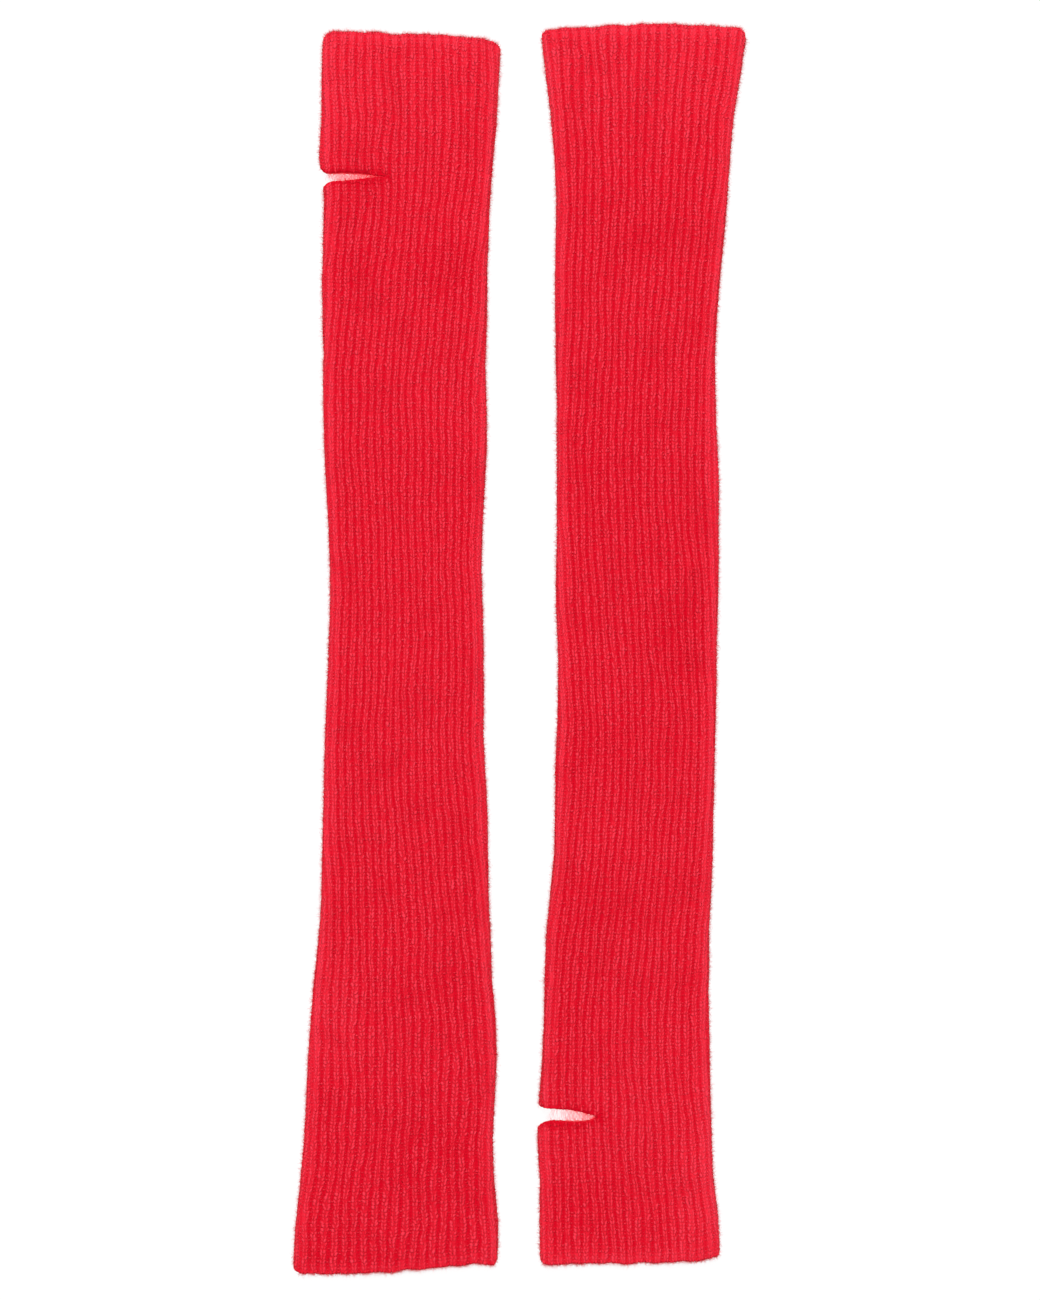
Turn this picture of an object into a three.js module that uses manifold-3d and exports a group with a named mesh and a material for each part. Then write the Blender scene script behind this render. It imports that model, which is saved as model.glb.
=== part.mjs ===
// A pair of long arm warmers in 1x1 rib knit, lying flat side by side.
//
// Each warmer is one knitted tube, pressed flat: the under layer rests on the ground, the upper
// layer lies on it, and the two run into each other round the folds. The ribs run from end to
// end, stand proud of the upper layer and turn over the folds. Each tube has a slit for the
// thumb in its left fold.
//
// Millimetres. +X is to the right and +Y is up when the pair is seen from above, and +Z is up.
// The origin is on the ground, in the middle of the pair.

import * as THREE from 'three';
import { mergeVertices } from 'three/addons/utils/BufferGeometryUtils.js';
import Module from 'manifold-3d';

const wasm = await Module();
wasm.setup();

// The cloth.
const WALL = 2.0; // between the ribs
const LAYER_GAP = 0.5; // between the two layers
const RIB_HEIGHT = 0.9;
const RIBS_ROUND = 42; // ribs in the whole tube
const RIB_CREST = 0.2; // half the flat top of a rib, in ribs
const RIBS_FROM_MIDDLE = 13; // ribs raised on each side of the middle one, past both folds
const PLAIN_STEP = 3; // ribs between two points on the plain underside
const FOLD_RADIUS = WALL + LAYER_GAP / 2;
const RIB_FADE_ANGLE = 2.4; // how far round a fold the ribs can still be felt, in radians
const FOLD_ROLL = 0.6; // the folded border stands this much higher
const FOLD_ROLL_INSET = 4.5;
const FOLD_ROLL_WIDTH = 3.0;

// The mesh.
const ROW_SPACING = 20; // between two cross-sections
const INNER_POINTS = 9; // across each inner face
const FOLD_TURN = 0.25; // a fold's place, as a part of the way round from the middle of the top
const INNER_FACE_TURN = 0.245; // the inner faces end just short of the folds
const SLIT_CURVE_STEPS = 4;

const RED = 0xe42437;
const KNIT_ROUGHNESS = 0.95;

// Cross-sections of each warmer. y: place along the pair, left and right: its folds, drift: how
// far the ribs lean to the left there, in ribs.
const LEFT_SECTIONS = [
  { y: 297, left: -94.4, right: -11.8, drift: 0.0 },
  { y: 289, left: -94.8, right: -9.2, drift: -0.05 },
  { y: 280, left: -95.0, right: -8.9, drift: -0.15 },
  { y: 270, left: -95.0, right: -10.6, drift: -0.35 },
  { y: 254, left: -95.2, right: -11.4, drift: -0.57 },
  { y: 235, left: -96.2, right: -13.2, drift: -0.73 },
  { y: 216, left: -93.8, right: -14.6, drift: -0.5 },
  { y: 187, left: -94.8, right: -15.6, drift: 0.0 },
  { y: 158, left: -94.6, right: -16.1, drift: 0.46 },
  { y: 129, left: -94.3, right: -16.6, drift: 1.2 },
  { y: 100, left: -93.8, right: -16.1, drift: 1.32 },
  { y: 72, left: -92.4, right: -17.5, drift: 1.22 },
  { y: 43, left: -91.0, right: -18.5, drift: 1.1 },
  { y: 14, left: -91.4, right: -18.0, drift: 0.92 },
  { y: -15, left: -92.4, right: -17.5, drift: 0.98 },
  { y: -44, left: -93.4, right: -17.5, drift: 1.05 },
  { y: -72, left: -94.3, right: -16.1, drift: 0.95 },
  { y: -101, left: -94.8, right: -15.6, drift: 0.4 },
  { y: -130, left: -95.8, right: -14.6, drift: -0.1 },
  { y: -159, left: -98.6, right: -13.7, drift: -0.4 },
  { y: -188, left: -101.0, right: -11.3, drift: -0.6 },
  { y: -216, left: -102.5, right: -12.2, drift: -0.98 },
  { y: -245, left: -104.4, right: -13.2, drift: -0.98 },
  { y: -269, left: -106.6, right: -11.0, drift: -0.7 },
  { y: -293, left: -109.2, right: -10.8, drift: -0.78 },
  { y: -300, left: -108.6, right: -12.2, drift: -0.78 },
];

const RIGHT_SECTIONS = [
  { y: 300, left: 11.0, right: 108.2, drift: 0.0 },
  { y: 292, left: 9.8, right: 109.2, drift: 0.0 },
  { y: 283, left: 11.3, right: 107.3, drift: 0.01 },
  { y: 254, left: 15.1, right: 102.5, drift: 0.06 },
  { y: 225, left: 17.5, right: 100.1, drift: 0.15 },
  { y: 196, left: 17.5, right: 97.7, drift: 0.25 },
  { y: 168, left: 17.0, right: 94.8, drift: 0.3 },
  { y: 139, left: 17.5, right: 93.4, drift: 0.54 },
  { y: 110, left: 17.8, right: 94.1, drift: 1.05 },
  { y: 81, left: 18.0, right: 95.3, drift: 1.3 },
  { y: 52, left: 17.8, right: 95.3, drift: 0.9 },
  { y: 24, left: 17.5, right: 94.8, drift: 0.37 },
  { y: -5, left: 18.5, right: 94.3, drift: 0.0 },
  { y: -34, left: 18.2, right: 93.6, drift: -0.6 },
  { y: -63, left: 17.0, right: 92.9, drift: -0.66 },
  { y: -92, left: 17.0, right: 92.4, drift: -0.2 },
  { y: -120, left: 14.2, right: 91.4, drift: -0.08 },
  { y: -149, left: 12.2, right: 90.5, drift: 0.28 },
  { y: -178, left: 11.8, right: 90.5, drift: 0.75 },
  { y: -207, left: 10.3, right: 91.0, drift: 0.6 },
  { y: -219, left: 9.2, right: 91.3, drift: 0.2 },
  { y: -231, left: 8.4, right: 92.0, drift: 0.06 },
  { y: -255, left: 9.8, right: 92.9, drift: 0.1 },
  { y: -274, left: 9.4, right: 95.3, drift: -0.04 },
  { y: -289, left: 8.9, right: 96.2, drift: -0.1 },
  { y: -296, left: 9.8, right: 94.4, drift: -0.1 },
];

// The two ends of each warmer. across: from -1 at the left fold to 1 at the right one.
const LEFT_TOP_END = [
  { across: -1.0, y: 293.8 },
  { across: -0.88, y: 296.2 },
  { across: -0.7, y: 296.5 },
  { across: -0.3, y: 295.7 },
  { across: -0.15, y: 294.7 },
  { across: 0.05, y: 295.2 },
  { across: 0.4, y: 294.6 },
  { across: 0.7, y: 293.3 },
  { across: 0.87, y: 292.1 },
  { across: 1.0, y: 289.0 },
];
const LEFT_BOTTOM_END = [
  { across: -1.0, y: -296.6 },
  { across: -0.85, y: -299.6 },
  { across: -0.5, y: -300.0 },
  { across: -0.1, y: -299.2 },
  { across: 0.3, y: -297.5 },
  { across: 0.6, y: -295.8 },
  { across: 0.9, y: -295.3 },
  { across: 1.0, y: -293.6 },
];
const RIGHT_TOP_END = [
  { across: -1.0, y: 294.8 },
  { across: -0.9, y: 297.6 },
  { across: -0.6, y: 298.4 },
  { across: 0.0, y: 300.0 },
  { across: 0.6, y: 299.2 },
  { across: 0.92, y: 298.0 },
  { across: 1.0, y: 295.8 },
];
const RIGHT_BOTTOM_END = [
  { across: -1.0, y: -294.4 },
  { across: -0.9, y: -295.9 },
  { across: -0.7, y: -295.2 },
  { across: 0.1, y: -295.1 },
  { across: 0.6, y: -294.2 },
  { across: 0.85, y: -293.2 },
  { across: 1.0, y: -290.6 },
];

// The soft rises and hollows of the upper layer. x and y: the middle, along and across: half its
// length and width, slant: how much it turns up to the right, height: below 0 for a hollow.
const LEFT_WAVES = [
  { x: -50, y: 262, along: 24, across: 40, slant: 0.05, height: 0.5 },
  { x: -36, y: 188, along: 19, across: 26, slant: 0.25, height: 1.1 },
  { x: -74, y: 150, along: 22, across: 22, slant: -0.2, height: 0.5 },
  { x: -34, y: 146, along: 18, across: 24, slant: 0.3, height: 0.8 },
  { x: -36, y: 100, along: 18, across: 26, slant: 0.2, height: 1.0 },
  { x: -56, y: 77, along: 17, across: 34, slant: 0.1, height: 0.6 },
  { x: -56, y: 33, along: 19, across: 34, slant: -0.1, height: 0.9 },
  { x: -62, y: -16, along: 20, across: 28, slant: 0.1, height: 0.8 },
  { x: -48, y: -72, along: 24, across: 30, slant: -0.2, height: 0.6 },
  { x: -40, y: -150, along: 20, across: 28, slant: 0.1, height: 1.0 },
  { x: -58, y: -205, along: 20, across: 46, slant: 0.12, height: 1.2 },
  { x: -70, y: -262, along: 24, across: 36, slant: 0.1, height: 0.4 },
];
const RIGHT_WAVES = [
  { x: 60, y: 272, along: 24, across: 44, slant: 0.0, height: 0.5 },
  { x: 56, y: 212, along: 20, across: 34, slant: 0.1, height: 1.0 },
  { x: 64, y: 150, along: 24, across: 30, slant: -0.2, height: 0.5 },
  { x: 46, y: 97, along: 19, across: 30, slant: 0.2, height: 1.1 },
  { x: 74, y: 22, along: 19, across: 26, slant: 0.25, height: 1.0 },
  { x: 36, y: -30, along: 19, across: 26, slant: -0.2, height: 1.0 },
  { x: 36, y: -98, along: 19, across: 28, slant: 0.2, height: 1.1 },
  { x: 26, y: -138, along: 22, across: 22, slant: 0.3, height: 0.7 },
  { x: 70, y: -180, along: 26, across: 24, slant: -0.1, height: 0.5 },
  { x: 34, y: -245, along: 20, across: 26, slant: 0.2, height: 0.7 },
];

// The thumb slits. fold: where the two lips leave the fold, lips: pairs of places on the upper
// and the lower lip, end: where they meet, round: the corner radius of each lip.
const LEFT_SLIT = {
  upperFold: -96.2,
  lowerFold: -94.2,
  lips: [
    { x: -88.0, upper: 228.4, lower: 224.1 },
    { x: -80.0, upper: 228.5, lower: 224.4 },
    { x: -72.0, upper: 228.3, lower: 225.4 },
  ],
  end: { x: -64.2, y: 226.8 },
  upperRound: 3.8,
  lowerRound: 3.4,
};
const RIGHT_SLIT = {
  upperFold: 9.3,
  lowerFold: 8.5,
  lips: [
    { x: 12.5, upper: -220.0, lower: -226.4 },
    { x: 29.5, upper: -222.0, lower: -226.7 },
    { x: 33.5, upper: -223.1, lower: -226.1 },
  ],
  end: { x: 37.2, y: -224.6 },
  upperRound: 1.8,
  lowerRound: 4.0,
};
const SLIT_OVERCUT = 8; // how far the cut runs past the cloth on all sides

// The value of one column of a table, on a smooth line through its rows. The rows are in order of
// their key, rising or falling.
function smoothValue(table, key, column, at) {
  const rising = table[table.length - 1][key] > table[0][key];
  const rows = rising ? table : [...table].reverse();
  const place = Math.min(Math.max(at, rows[0][key]), rows[rows.length - 1][key]);
  let i = 0;
  while (i < rows.length - 2 && rows[i + 1][key] < place) i += 1;
  const slope = (a, b) => (rows[b][column] - rows[a][column]) / (rows[b][key] - rows[a][key]);
  const before = Math.max(i - 1, 0);
  const after = Math.min(i + 2, rows.length - 1);
  const step = rows[i + 1][key] - rows[i][key];
  const t = (place - rows[i][key]) / step;
  const startSlope = slope(before, i + 1) * step;
  const endSlope = slope(i, after) * step;
  const t2 = t * t;
  const t3 = t2 * t;
  return (
    (2 * t3 - 3 * t2 + 1) * rows[i][column] +
    (t3 - 2 * t2 + t) * startSlope +
    (3 * t2 - 2 * t3) * rows[i + 1][column] +
    (t3 - t2) * endSlope
  );
}

// The rise of the upper layer at a place, from the waves and the rolled folds.
function riseAt(warmer, x, y, left, right) {
  let rise = 0;
  for (const wave of warmer.waves) {
    const sideways = (x - wave.x) / wave.across;
    const lengthways = (y - wave.y - wave.slant * (x - wave.x)) / wave.along;
    rise += wave.height * Math.exp(-(sideways * sideways + lengthways * lengthways));
  }
  const fromFold = Math.max(Math.min(x - left, right - x), 0);
  const inside = Math.min(fromFold / (FOLD_ROLL_INSET * 2), 1);
  const roll = (fromFold - FOLD_ROLL_INSET) / FOLD_ROLL_WIDTH;
  return rise * inside + FOLD_ROLL * Math.exp(-roll * roll);
}

// A place on a flattened ring, by its length s from the middle of the top. The ring is flat over
// halfFlat on each side, and has a radius at its folds.
function ringPlace(s, halfFlat, radius) {
  const whole = 4 * halfFlat + 2 * Math.PI * radius;
  const wrapped = s - whole * Math.round(s / whole);
  const side = Math.sign(wrapped) || 1;
  const length = Math.abs(wrapped);
  const arc = Math.PI * radius;
  if (length <= halfFlat) return { x: side * length, z: radius, out: [0, 1], angle: 0 };
  if (length < halfFlat + arc) {
    const angle = (length - halfFlat) / radius;
    const out = [side * Math.sin(angle), Math.cos(angle)];
    return { x: side * halfFlat + radius * out[0], z: radius * out[1], out, angle };
  }
  return { x: side * (2 * halfFlat + arc - length), z: -radius, out: [0, -1], angle: Math.PI };
}

// The cross-section of a warmer at a place along it.
function sectionAt(warmer, y) {
  const left = smoothValue(warmer.sections, 'y', 'left', y);
  const right = smoothValue(warmer.sections, 'y', 'right', y);
  const drift = smoothValue(warmer.sections, 'y', 'drift', y);
  return { left, right, drift, middle: (left + right) / 2, half: (right - left) / 2 };
}

// A point of the tube's outer or inner face. share is the part of the way from the bottom end to
// the top end, and turn is the part of the way round the tube from the middle of the top.
function tubePoint(warmer, share, turn, ribShare, inner) {
  const radius = inner ? LAYER_GAP / 2 : FOLD_RADIUS;
  const inset = inner ? WALL : 0;
  const across = ringPlace(turn, FOLD_TURN, 0).x / FOLD_TURN;
  const bottom = smoothValue(warmer.bottomEnd, 'across', 'y', across);
  const top = smoothValue(warmer.topEnd, 'across', 'y', across);
  const y = bottom + (top - bottom) * share;
  const section = sectionAt(warmer, y);
  const halfFlat = section.half - inset - radius;
  const whole = 4 * halfFlat + 2 * Math.PI * radius;
  const drift = inner ? 0 : section.drift / RIBS_ROUND;
  const place = ringPlace((turn - drift) * whole, halfFlat, radius);
  const rib = RIB_HEIGHT * ribShare * Math.max(1 - place.angle / RIB_FADE_ANGLE, 0);
  const x = section.middle + place.x;
  const topShare = (place.z / radius + 1) / 2;
  const rise = riseAt(warmer, x, y, section.left, section.right) * topShare;
  return [x + place.out[0] * rib, y, FOLD_RADIUS + place.z + place.out[1] * rib + rise];
}

// The columns of the outer face: three points on each raised rib, then the plain underside.
function outerColumns() {
  const columns = [];
  for (let rib = -RIBS_FROM_MIDDLE; rib <= RIBS_FROM_MIDDLE; rib += 1) {
    columns.push({ turn: (rib - 0.5) / RIBS_ROUND, ribShare: 0 });
    columns.push({ turn: (rib - RIB_CREST) / RIBS_ROUND, ribShare: 1 });
    columns.push({ turn: (rib + RIB_CREST) / RIBS_ROUND, ribShare: 1 });
  }
  const lastPlain = RIBS_ROUND - RIBS_FROM_MIDDLE - 0.5;
  for (let place = RIBS_FROM_MIDDLE + 0.5; place < lastPlain; place += PLAIN_STEP) {
    columns.push({ turn: place / RIBS_ROUND, ribShare: 0 });
  }
  return columns;
}

// The columns of the plain inner face: evenly across the top and the underside, with one point
// in each fold.
function innerColumns() {
  const columns = [];
  const spread = (2 * INNER_FACE_TURN) / (INNER_POINTS - 1);
  for (const middle of [0, 2 * FOLD_TURN]) {
    for (let i = 0; i < INNER_POINTS; i += 1) {
      columns.push({ turn: middle - INNER_FACE_TURN + i * spread, ribShare: 0 });
    }
    columns.push({ turn: middle + FOLD_TURN, ribShare: 0 });
  }
  return columns;
}

// Joins a row of outer points to a row of inner points, both by the part of the way round.
function rimTriangles(outer, inner, outerStart, innerStart) {
  const triangles = [];
  const placeOf = (columns, i) => {
    const lap = Math.floor(i / columns.length);
    return columns[i % columns.length].turn + lap;
  };
  let i = 0;
  let j = 0;
  while (placeOf(inner, j) < placeOf(outer, 0)) j += 1;
  const firstInner = j;
  while (i < outer.length || j < firstInner + inner.length) {
    const a = outerStart + (i % outer.length);
    const b = innerStart + (j % inner.length);
    const outerNext = i < outer.length;
    const innerNext = j < firstInner + inner.length;
    if (outerNext && (!innerNext || placeOf(outer, i + 1) <= placeOf(inner, j + 1))) {
      triangles.push([a, outerStart + ((i + 1) % outer.length), b]);
      i += 1;
    } else {
      triangles.push([a, innerStart + ((j + 1) % inner.length), b]);
      j += 1;
    }
  }
  return triangles;
}

function buildTube(warmer) {
  const outer = outerColumns();
  const inner = innerColumns();
  const length = warmer.sections[0].y - warmer.sections[warmer.sections.length - 1].y;
  const rows = Math.round(length / ROW_SPACING);
  const points = [];
  for (const [columns, isInner] of [[outer, false], [inner, true]]) {
    for (let row = 0; row <= rows; row += 1) {
      for (const column of columns) {
        points.push(...tubePoint(warmer, row / rows, column.turn, column.ribShare, isInner));
      }
    }
  }
  const triangles = [];
  const addFace = (start, count, outward) => {
    for (let row = 0; row < rows; row += 1) {
      for (let i = 0; i < count; i += 1) {
        const a = start + row * count + i;
        const b = start + row * count + ((i + 1) % count);
        const pair = [[a, b, b + count], [a, b + count, a + count]];
        for (const corners of pair) triangles.push(outward ? corners : corners.reverse());
      }
    }
  };
  const innerStart = outer.length * (rows + 1);
  addFace(0, outer.length, true);
  addFace(innerStart, inner.length, false);
  for (const row of [0, rows]) {
    const rim = rimTriangles(outer, inner, row * outer.length, innerStart + row * inner.length);
    for (const corners of rim) triangles.push(row === 0 ? corners.reverse() : corners);
  }
  const geometry = new THREE.BufferGeometry();
  geometry.setAttribute('position', new THREE.Float32BufferAttribute(points, 3));
  geometry.setIndex(triangles.flat());
  return geometry;
}

// The prism that cuts a slit through both layers, from outside the fold to where the lips meet.
function buildSlitCutter(slit) {
  const first = slit.lips[0];
  const outside = Math.min(slit.upperFold, slit.lowerFold) - SLIT_OVERCUT;
  const shape = new THREE.Shape();
  shape.moveTo(outside, first.upper + slit.upperRound);
  shape.lineTo(slit.upperFold, first.upper + slit.upperRound);
  shape.quadraticCurveTo(slit.upperFold, first.upper, slit.upperFold + slit.upperRound, first.upper);
  for (const lip of slit.lips) shape.lineTo(lip.x, lip.upper);
  shape.lineTo(slit.end.x, slit.end.y);
  for (const lip of [...slit.lips].reverse()) shape.lineTo(lip.x, lip.lower);
  shape.lineTo(slit.lowerFold + slit.lowerRound, first.lower);
  shape.quadraticCurveTo(slit.lowerFold, first.lower, slit.lowerFold, first.lower - slit.lowerRound);
  shape.lineTo(outside, first.lower - slit.lowerRound);
  shape.closePath();
  const depth = 2 * (FOLD_RADIUS + SLIT_OVERCUT);
  const options = { depth, bevelEnabled: false, curveSegments: SLIT_CURVE_STEPS };
  const geometry = new THREE.ExtrudeGeometry(shape, options);
  geometry.translate(0, 0, -SLIT_OVERCUT);
  return geometry;
}

function toSolid(geometry) {
  geometry.deleteAttribute('normal');
  geometry.deleteAttribute('uv');
  const merged = mergeVertices(geometry);
  const vertProperties = new Float32Array(merged.attributes.position.array);
  const triVerts = new Uint32Array(merged.index.array);
  return new wasm.Manifold(new wasm.Mesh({ numProp: 3, vertProperties, triVerts }));
}

function toGeometry(solid) {
  const mesh = solid.getMesh();
  const geometry = new THREE.BufferGeometry();
  geometry.setAttribute('position', new THREE.BufferAttribute(mesh.vertProperties, 3));
  geometry.setIndex(new THREE.BufferAttribute(mesh.triVerts, 1));
  geometry.computeVertexNormals();
  return geometry;
}

function buildWarmer(warmer) {
  const tube = toSolid(buildTube(warmer));
  const solid = tube.subtract(toSolid(buildSlitCutter(warmer.slit)));
  const material = new THREE.MeshStandardMaterial({ color: RED, roughness: KNIT_ROUGHNESS });
  const mesh = new THREE.Mesh(toGeometry(solid), material);
  mesh.name = warmer.name;
  return mesh;
}

const WARMERS = [
  {
    name: 'left_arm_warmer',
    sections: LEFT_SECTIONS,
    topEnd: LEFT_TOP_END,
    bottomEnd: LEFT_BOTTOM_END,
    waves: LEFT_WAVES,
    slit: LEFT_SLIT,
  },
  {
    name: 'right_arm_warmer',
    sections: RIGHT_SECTIONS,
    topEnd: RIGHT_TOP_END,
    bottomEnd: RIGHT_BOTTOM_END,
    waves: RIGHT_WAVES,
    slit: RIGHT_SLIT,
  },
];

const group = new THREE.Group();
for (const warmer of WARMERS) group.add(buildWarmer(warmer));

export default group;
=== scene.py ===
# %% [markdown]
# # A pair of long ribbed arm warmers
#
# Two tubes of soft, brushed 1x1 rib knit lie flat beside each other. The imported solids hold
# their size, outline, folds and thumb slits. This lesson dresses them: first a smooth wall for
# each tube, then the stitches that stand on its ribs, the edges, the loose fibres, and last the
# yarn's finish, the light and the camera.
#
# Everything is in metres, in the frame of the solids: +X to the right, +Y up along the warmers
# and +Z off the ground.

# %% Load the frame
import math

import bpy
import numpy as np
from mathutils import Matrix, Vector


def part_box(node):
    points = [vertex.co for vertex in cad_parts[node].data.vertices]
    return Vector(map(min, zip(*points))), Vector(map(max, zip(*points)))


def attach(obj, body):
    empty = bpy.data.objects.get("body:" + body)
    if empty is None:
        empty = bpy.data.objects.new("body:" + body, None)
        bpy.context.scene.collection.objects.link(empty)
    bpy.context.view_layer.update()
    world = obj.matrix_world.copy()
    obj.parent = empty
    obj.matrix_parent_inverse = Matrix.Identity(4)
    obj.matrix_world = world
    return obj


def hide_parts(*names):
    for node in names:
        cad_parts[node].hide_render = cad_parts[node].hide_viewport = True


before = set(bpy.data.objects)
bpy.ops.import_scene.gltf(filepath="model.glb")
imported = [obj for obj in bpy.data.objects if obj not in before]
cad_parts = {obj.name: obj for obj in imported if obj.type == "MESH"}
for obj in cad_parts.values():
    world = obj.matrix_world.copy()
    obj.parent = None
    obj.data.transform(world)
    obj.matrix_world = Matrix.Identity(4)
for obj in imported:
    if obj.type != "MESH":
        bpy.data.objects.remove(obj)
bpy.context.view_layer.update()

# %% [markdown]
# ## The camera first
#
# The pair is seen from straight above. A long lens far away keeps both ends as upright as the
# middle. It could also be an orthographic camera, but a real lens is kept, so that other views
# look natural too. The distance follows from the width of cloth that one picture row covers.

# %% Place the camera
PICTURE_WIDTH, PICTURE_HEIGHT = 1040, 1300
METRES_PER_PIXEL = 0.00048
PAIR_MIDDLE_PIXEL = (520.0, 649.0)  # counted from the picture's left and upper border
LENS, SENSOR = 100.0, 36.0
CLOTH_LEVEL = 0.003

camera_data = bpy.data.cameras.new("camera")
camera_data.lens = LENS
camera_data.sensor_width = SENSOR
camera_data.clip_start = 0.01
camera = bpy.data.objects.new("camera", camera_data)
bpy.context.scene.collection.objects.link(camera)
bpy.context.scene.camera = camera

camera_height = PICTURE_HEIGHT * METRES_PER_PIXEL * LENS / SENSOR + CLOTH_LEVEL
camera.location = (
    (PICTURE_WIDTH / 2 - PAIR_MIDDLE_PIXEL[0]) * METRES_PER_PIXEL,
    (PAIR_MIDDLE_PIXEL[1] - PICTURE_HEIGHT / 2) * METRES_PER_PIXEL,
    camera_height,
)
print("camera height", round(camera_height, 3))

# %% [markdown]
# ## What the solids tell
#
# A flattened tube is known by its two folds and its two ends. They could be typed in again, but
# a measure taken from the solid can't disagree with it. A slice across the solid gives the
# folds, and a slice along it gives the ends. Where a thumb slit bites into the left fold, the
# fold is carried straight over it.

# %% Measure folds and ends
MM = 0.001
NODES = {"left": "left_arm_warmer", "right": "right_arm_warmer"}
SLICES = 240
END_INSET = 8 * MM  # the corners are round from here on, which is left to the ends
SLIT_BANDS = {"left": (0.2190, 0.2335), "right": (-0.2320, -0.2165)}
FOLD_DRAW_IN = 0.15 * MM  # stitches and nap reach further out than the wall by this much
END_DRAW_IN = 0.40 * MM
MEASURED_PART = 0.99  # the ends are measured almost out to the folds


def solid_edges(node):
    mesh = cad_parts[node].data
    points = np.zeros(len(mesh.vertices) * 3)
    mesh.vertices.foreach_get("co", points)
    pairs = np.zeros(len(mesh.edges) * 2, int)
    mesh.edges.foreach_get("vertices", pairs)
    points = points.reshape(-1, 3)
    return points[pairs[0::2]], points[pairs[1::2]]


def slice_range(start, end, axis, at, other):
    """The lowest and highest value of the other axis where the solid meets a plane."""
    a, b = start[:, axis] - at, end[:, axis] - at
    hit = (a * b < 0)
    share = a[hit] / (a[hit] - b[hit])
    values = start[hit, other] + (end[hit, other] - start[hit, other]) * share
    return values.min(), values.max()


def measure_tube(side):
    node = NODES[side]
    start, end = solid_edges(node)
    low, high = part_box(node)
    ys = np.linspace(low.y + END_INSET, high.y - END_INSET, SLICES)
    folds = np.array([slice_range(start, end, 1, y, 0) for y in ys])
    clear = (ys < SLIT_BANDS[side][0]) | (ys > SLIT_BANDS[side][1])
    left = np.interp(ys, ys[clear], folds[clear, 0])
    across = np.linspace(-MEASURED_PART, MEASURED_PART, SLICES)
    ends = []
    for y_index, pick in ((0, 0), (-1, 1)):  # the bottom end's lowest, the top end's highest
        middle = (left[y_index] + folds[y_index, 1]) / 2
        half = (folds[y_index, 1] - left[y_index]) / 2
        inward = END_DRAW_IN * (1 - 2 * pick)
        reach = [slice_range(start, end, 0, middle + half * a, 1)[pick] for a in across]
        ends.append(np.array(reach) + inward)
    folds = {"left": left + FOLD_DRAW_IN, "right": folds[:, 1] - FOLD_DRAW_IN}
    return {"y": ys, "across": across, "ends": ends, **folds}


TUBES = {side: measure_tube(side) for side in NODES}
for side, tube in TUBES.items():
    widths = (tube["right"] - tube["left"]) / MM
    print(side, "flat width", round(widths.min(), 1), "to", round(widths.max(), 1), "mm")

# %% [markdown]
# ## How the ribs run
#
# The ribs don't run quite straight. The cloth was laid down by hand, so the ribs wander to the
# left and back by up to a rib and a half. The drift is given in ribs, at places along the pair
# that were read off. The same table drives the solids.

# %% Drift of the ribs
RIBS_ROUND = 42
WALL = 2.0 * MM
LAYER_GAP = 0.5 * MM
FOLD_RADIUS = WALL + LAYER_GAP / 2

# y along the pair in mm, drift to the left in ribs
DRIFT = {
    "left": [
        (297, 0.0), (289, -0.05), (254, -0.57), (235, -0.73), (216, -0.5), (187, 0.0),
        (158, 0.46), (129, 1.2), (100, 1.32), (72, 1.22), (43, 1.1), (14, 0.92),
        (-15, 0.98), (-44, 1.05), (-72, 0.95), (-101, 0.4), (-130, -0.1), (-159, -0.4),
        (-188, -0.6), (-216, -0.98), (-245, -0.98), (-269, -0.7), (-293, -0.78),
    ],
    "right": [
        (300, 0.0), (283, 0.01), (254, 0.06), (225, 0.15), (196, 0.25), (168, 0.3),
        (139, 0.54), (110, 1.05), (81, 1.3), (52, 0.9), (24, 0.37), (-5, 0.0),
        (-34, -0.6), (-63, -0.66), (-92, -0.2), (-120, -0.08), (-149, 0.28), (-178, 0.75),
        (-207, 0.6), (-219, 0.2), (-231, 0.06), (-255, 0.1), (-274, -0.04), (-296, -0.1),
    ],
}
DRIFT_SMOOTHING = 9  # slices, to round the corners of the table


def smooth(values, width):
    padded = np.pad(values, width, mode="edge")
    window = np.hanning(2 * width + 1)
    return np.convolve(padded, window / window.sum(), mode="same")[width:-width]


for side, tube in TUBES.items():
    rows = np.array(DRIFT[side])[::-1]
    tube["drift"] = smooth(np.interp(tube["y"] / MM, rows[:, 0], rows[:, 1]), DRIFT_SMOOTHING)
print("drift", {s: round(float(t["drift"].max()), 2) for s, t in TUBES.items()})
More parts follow.
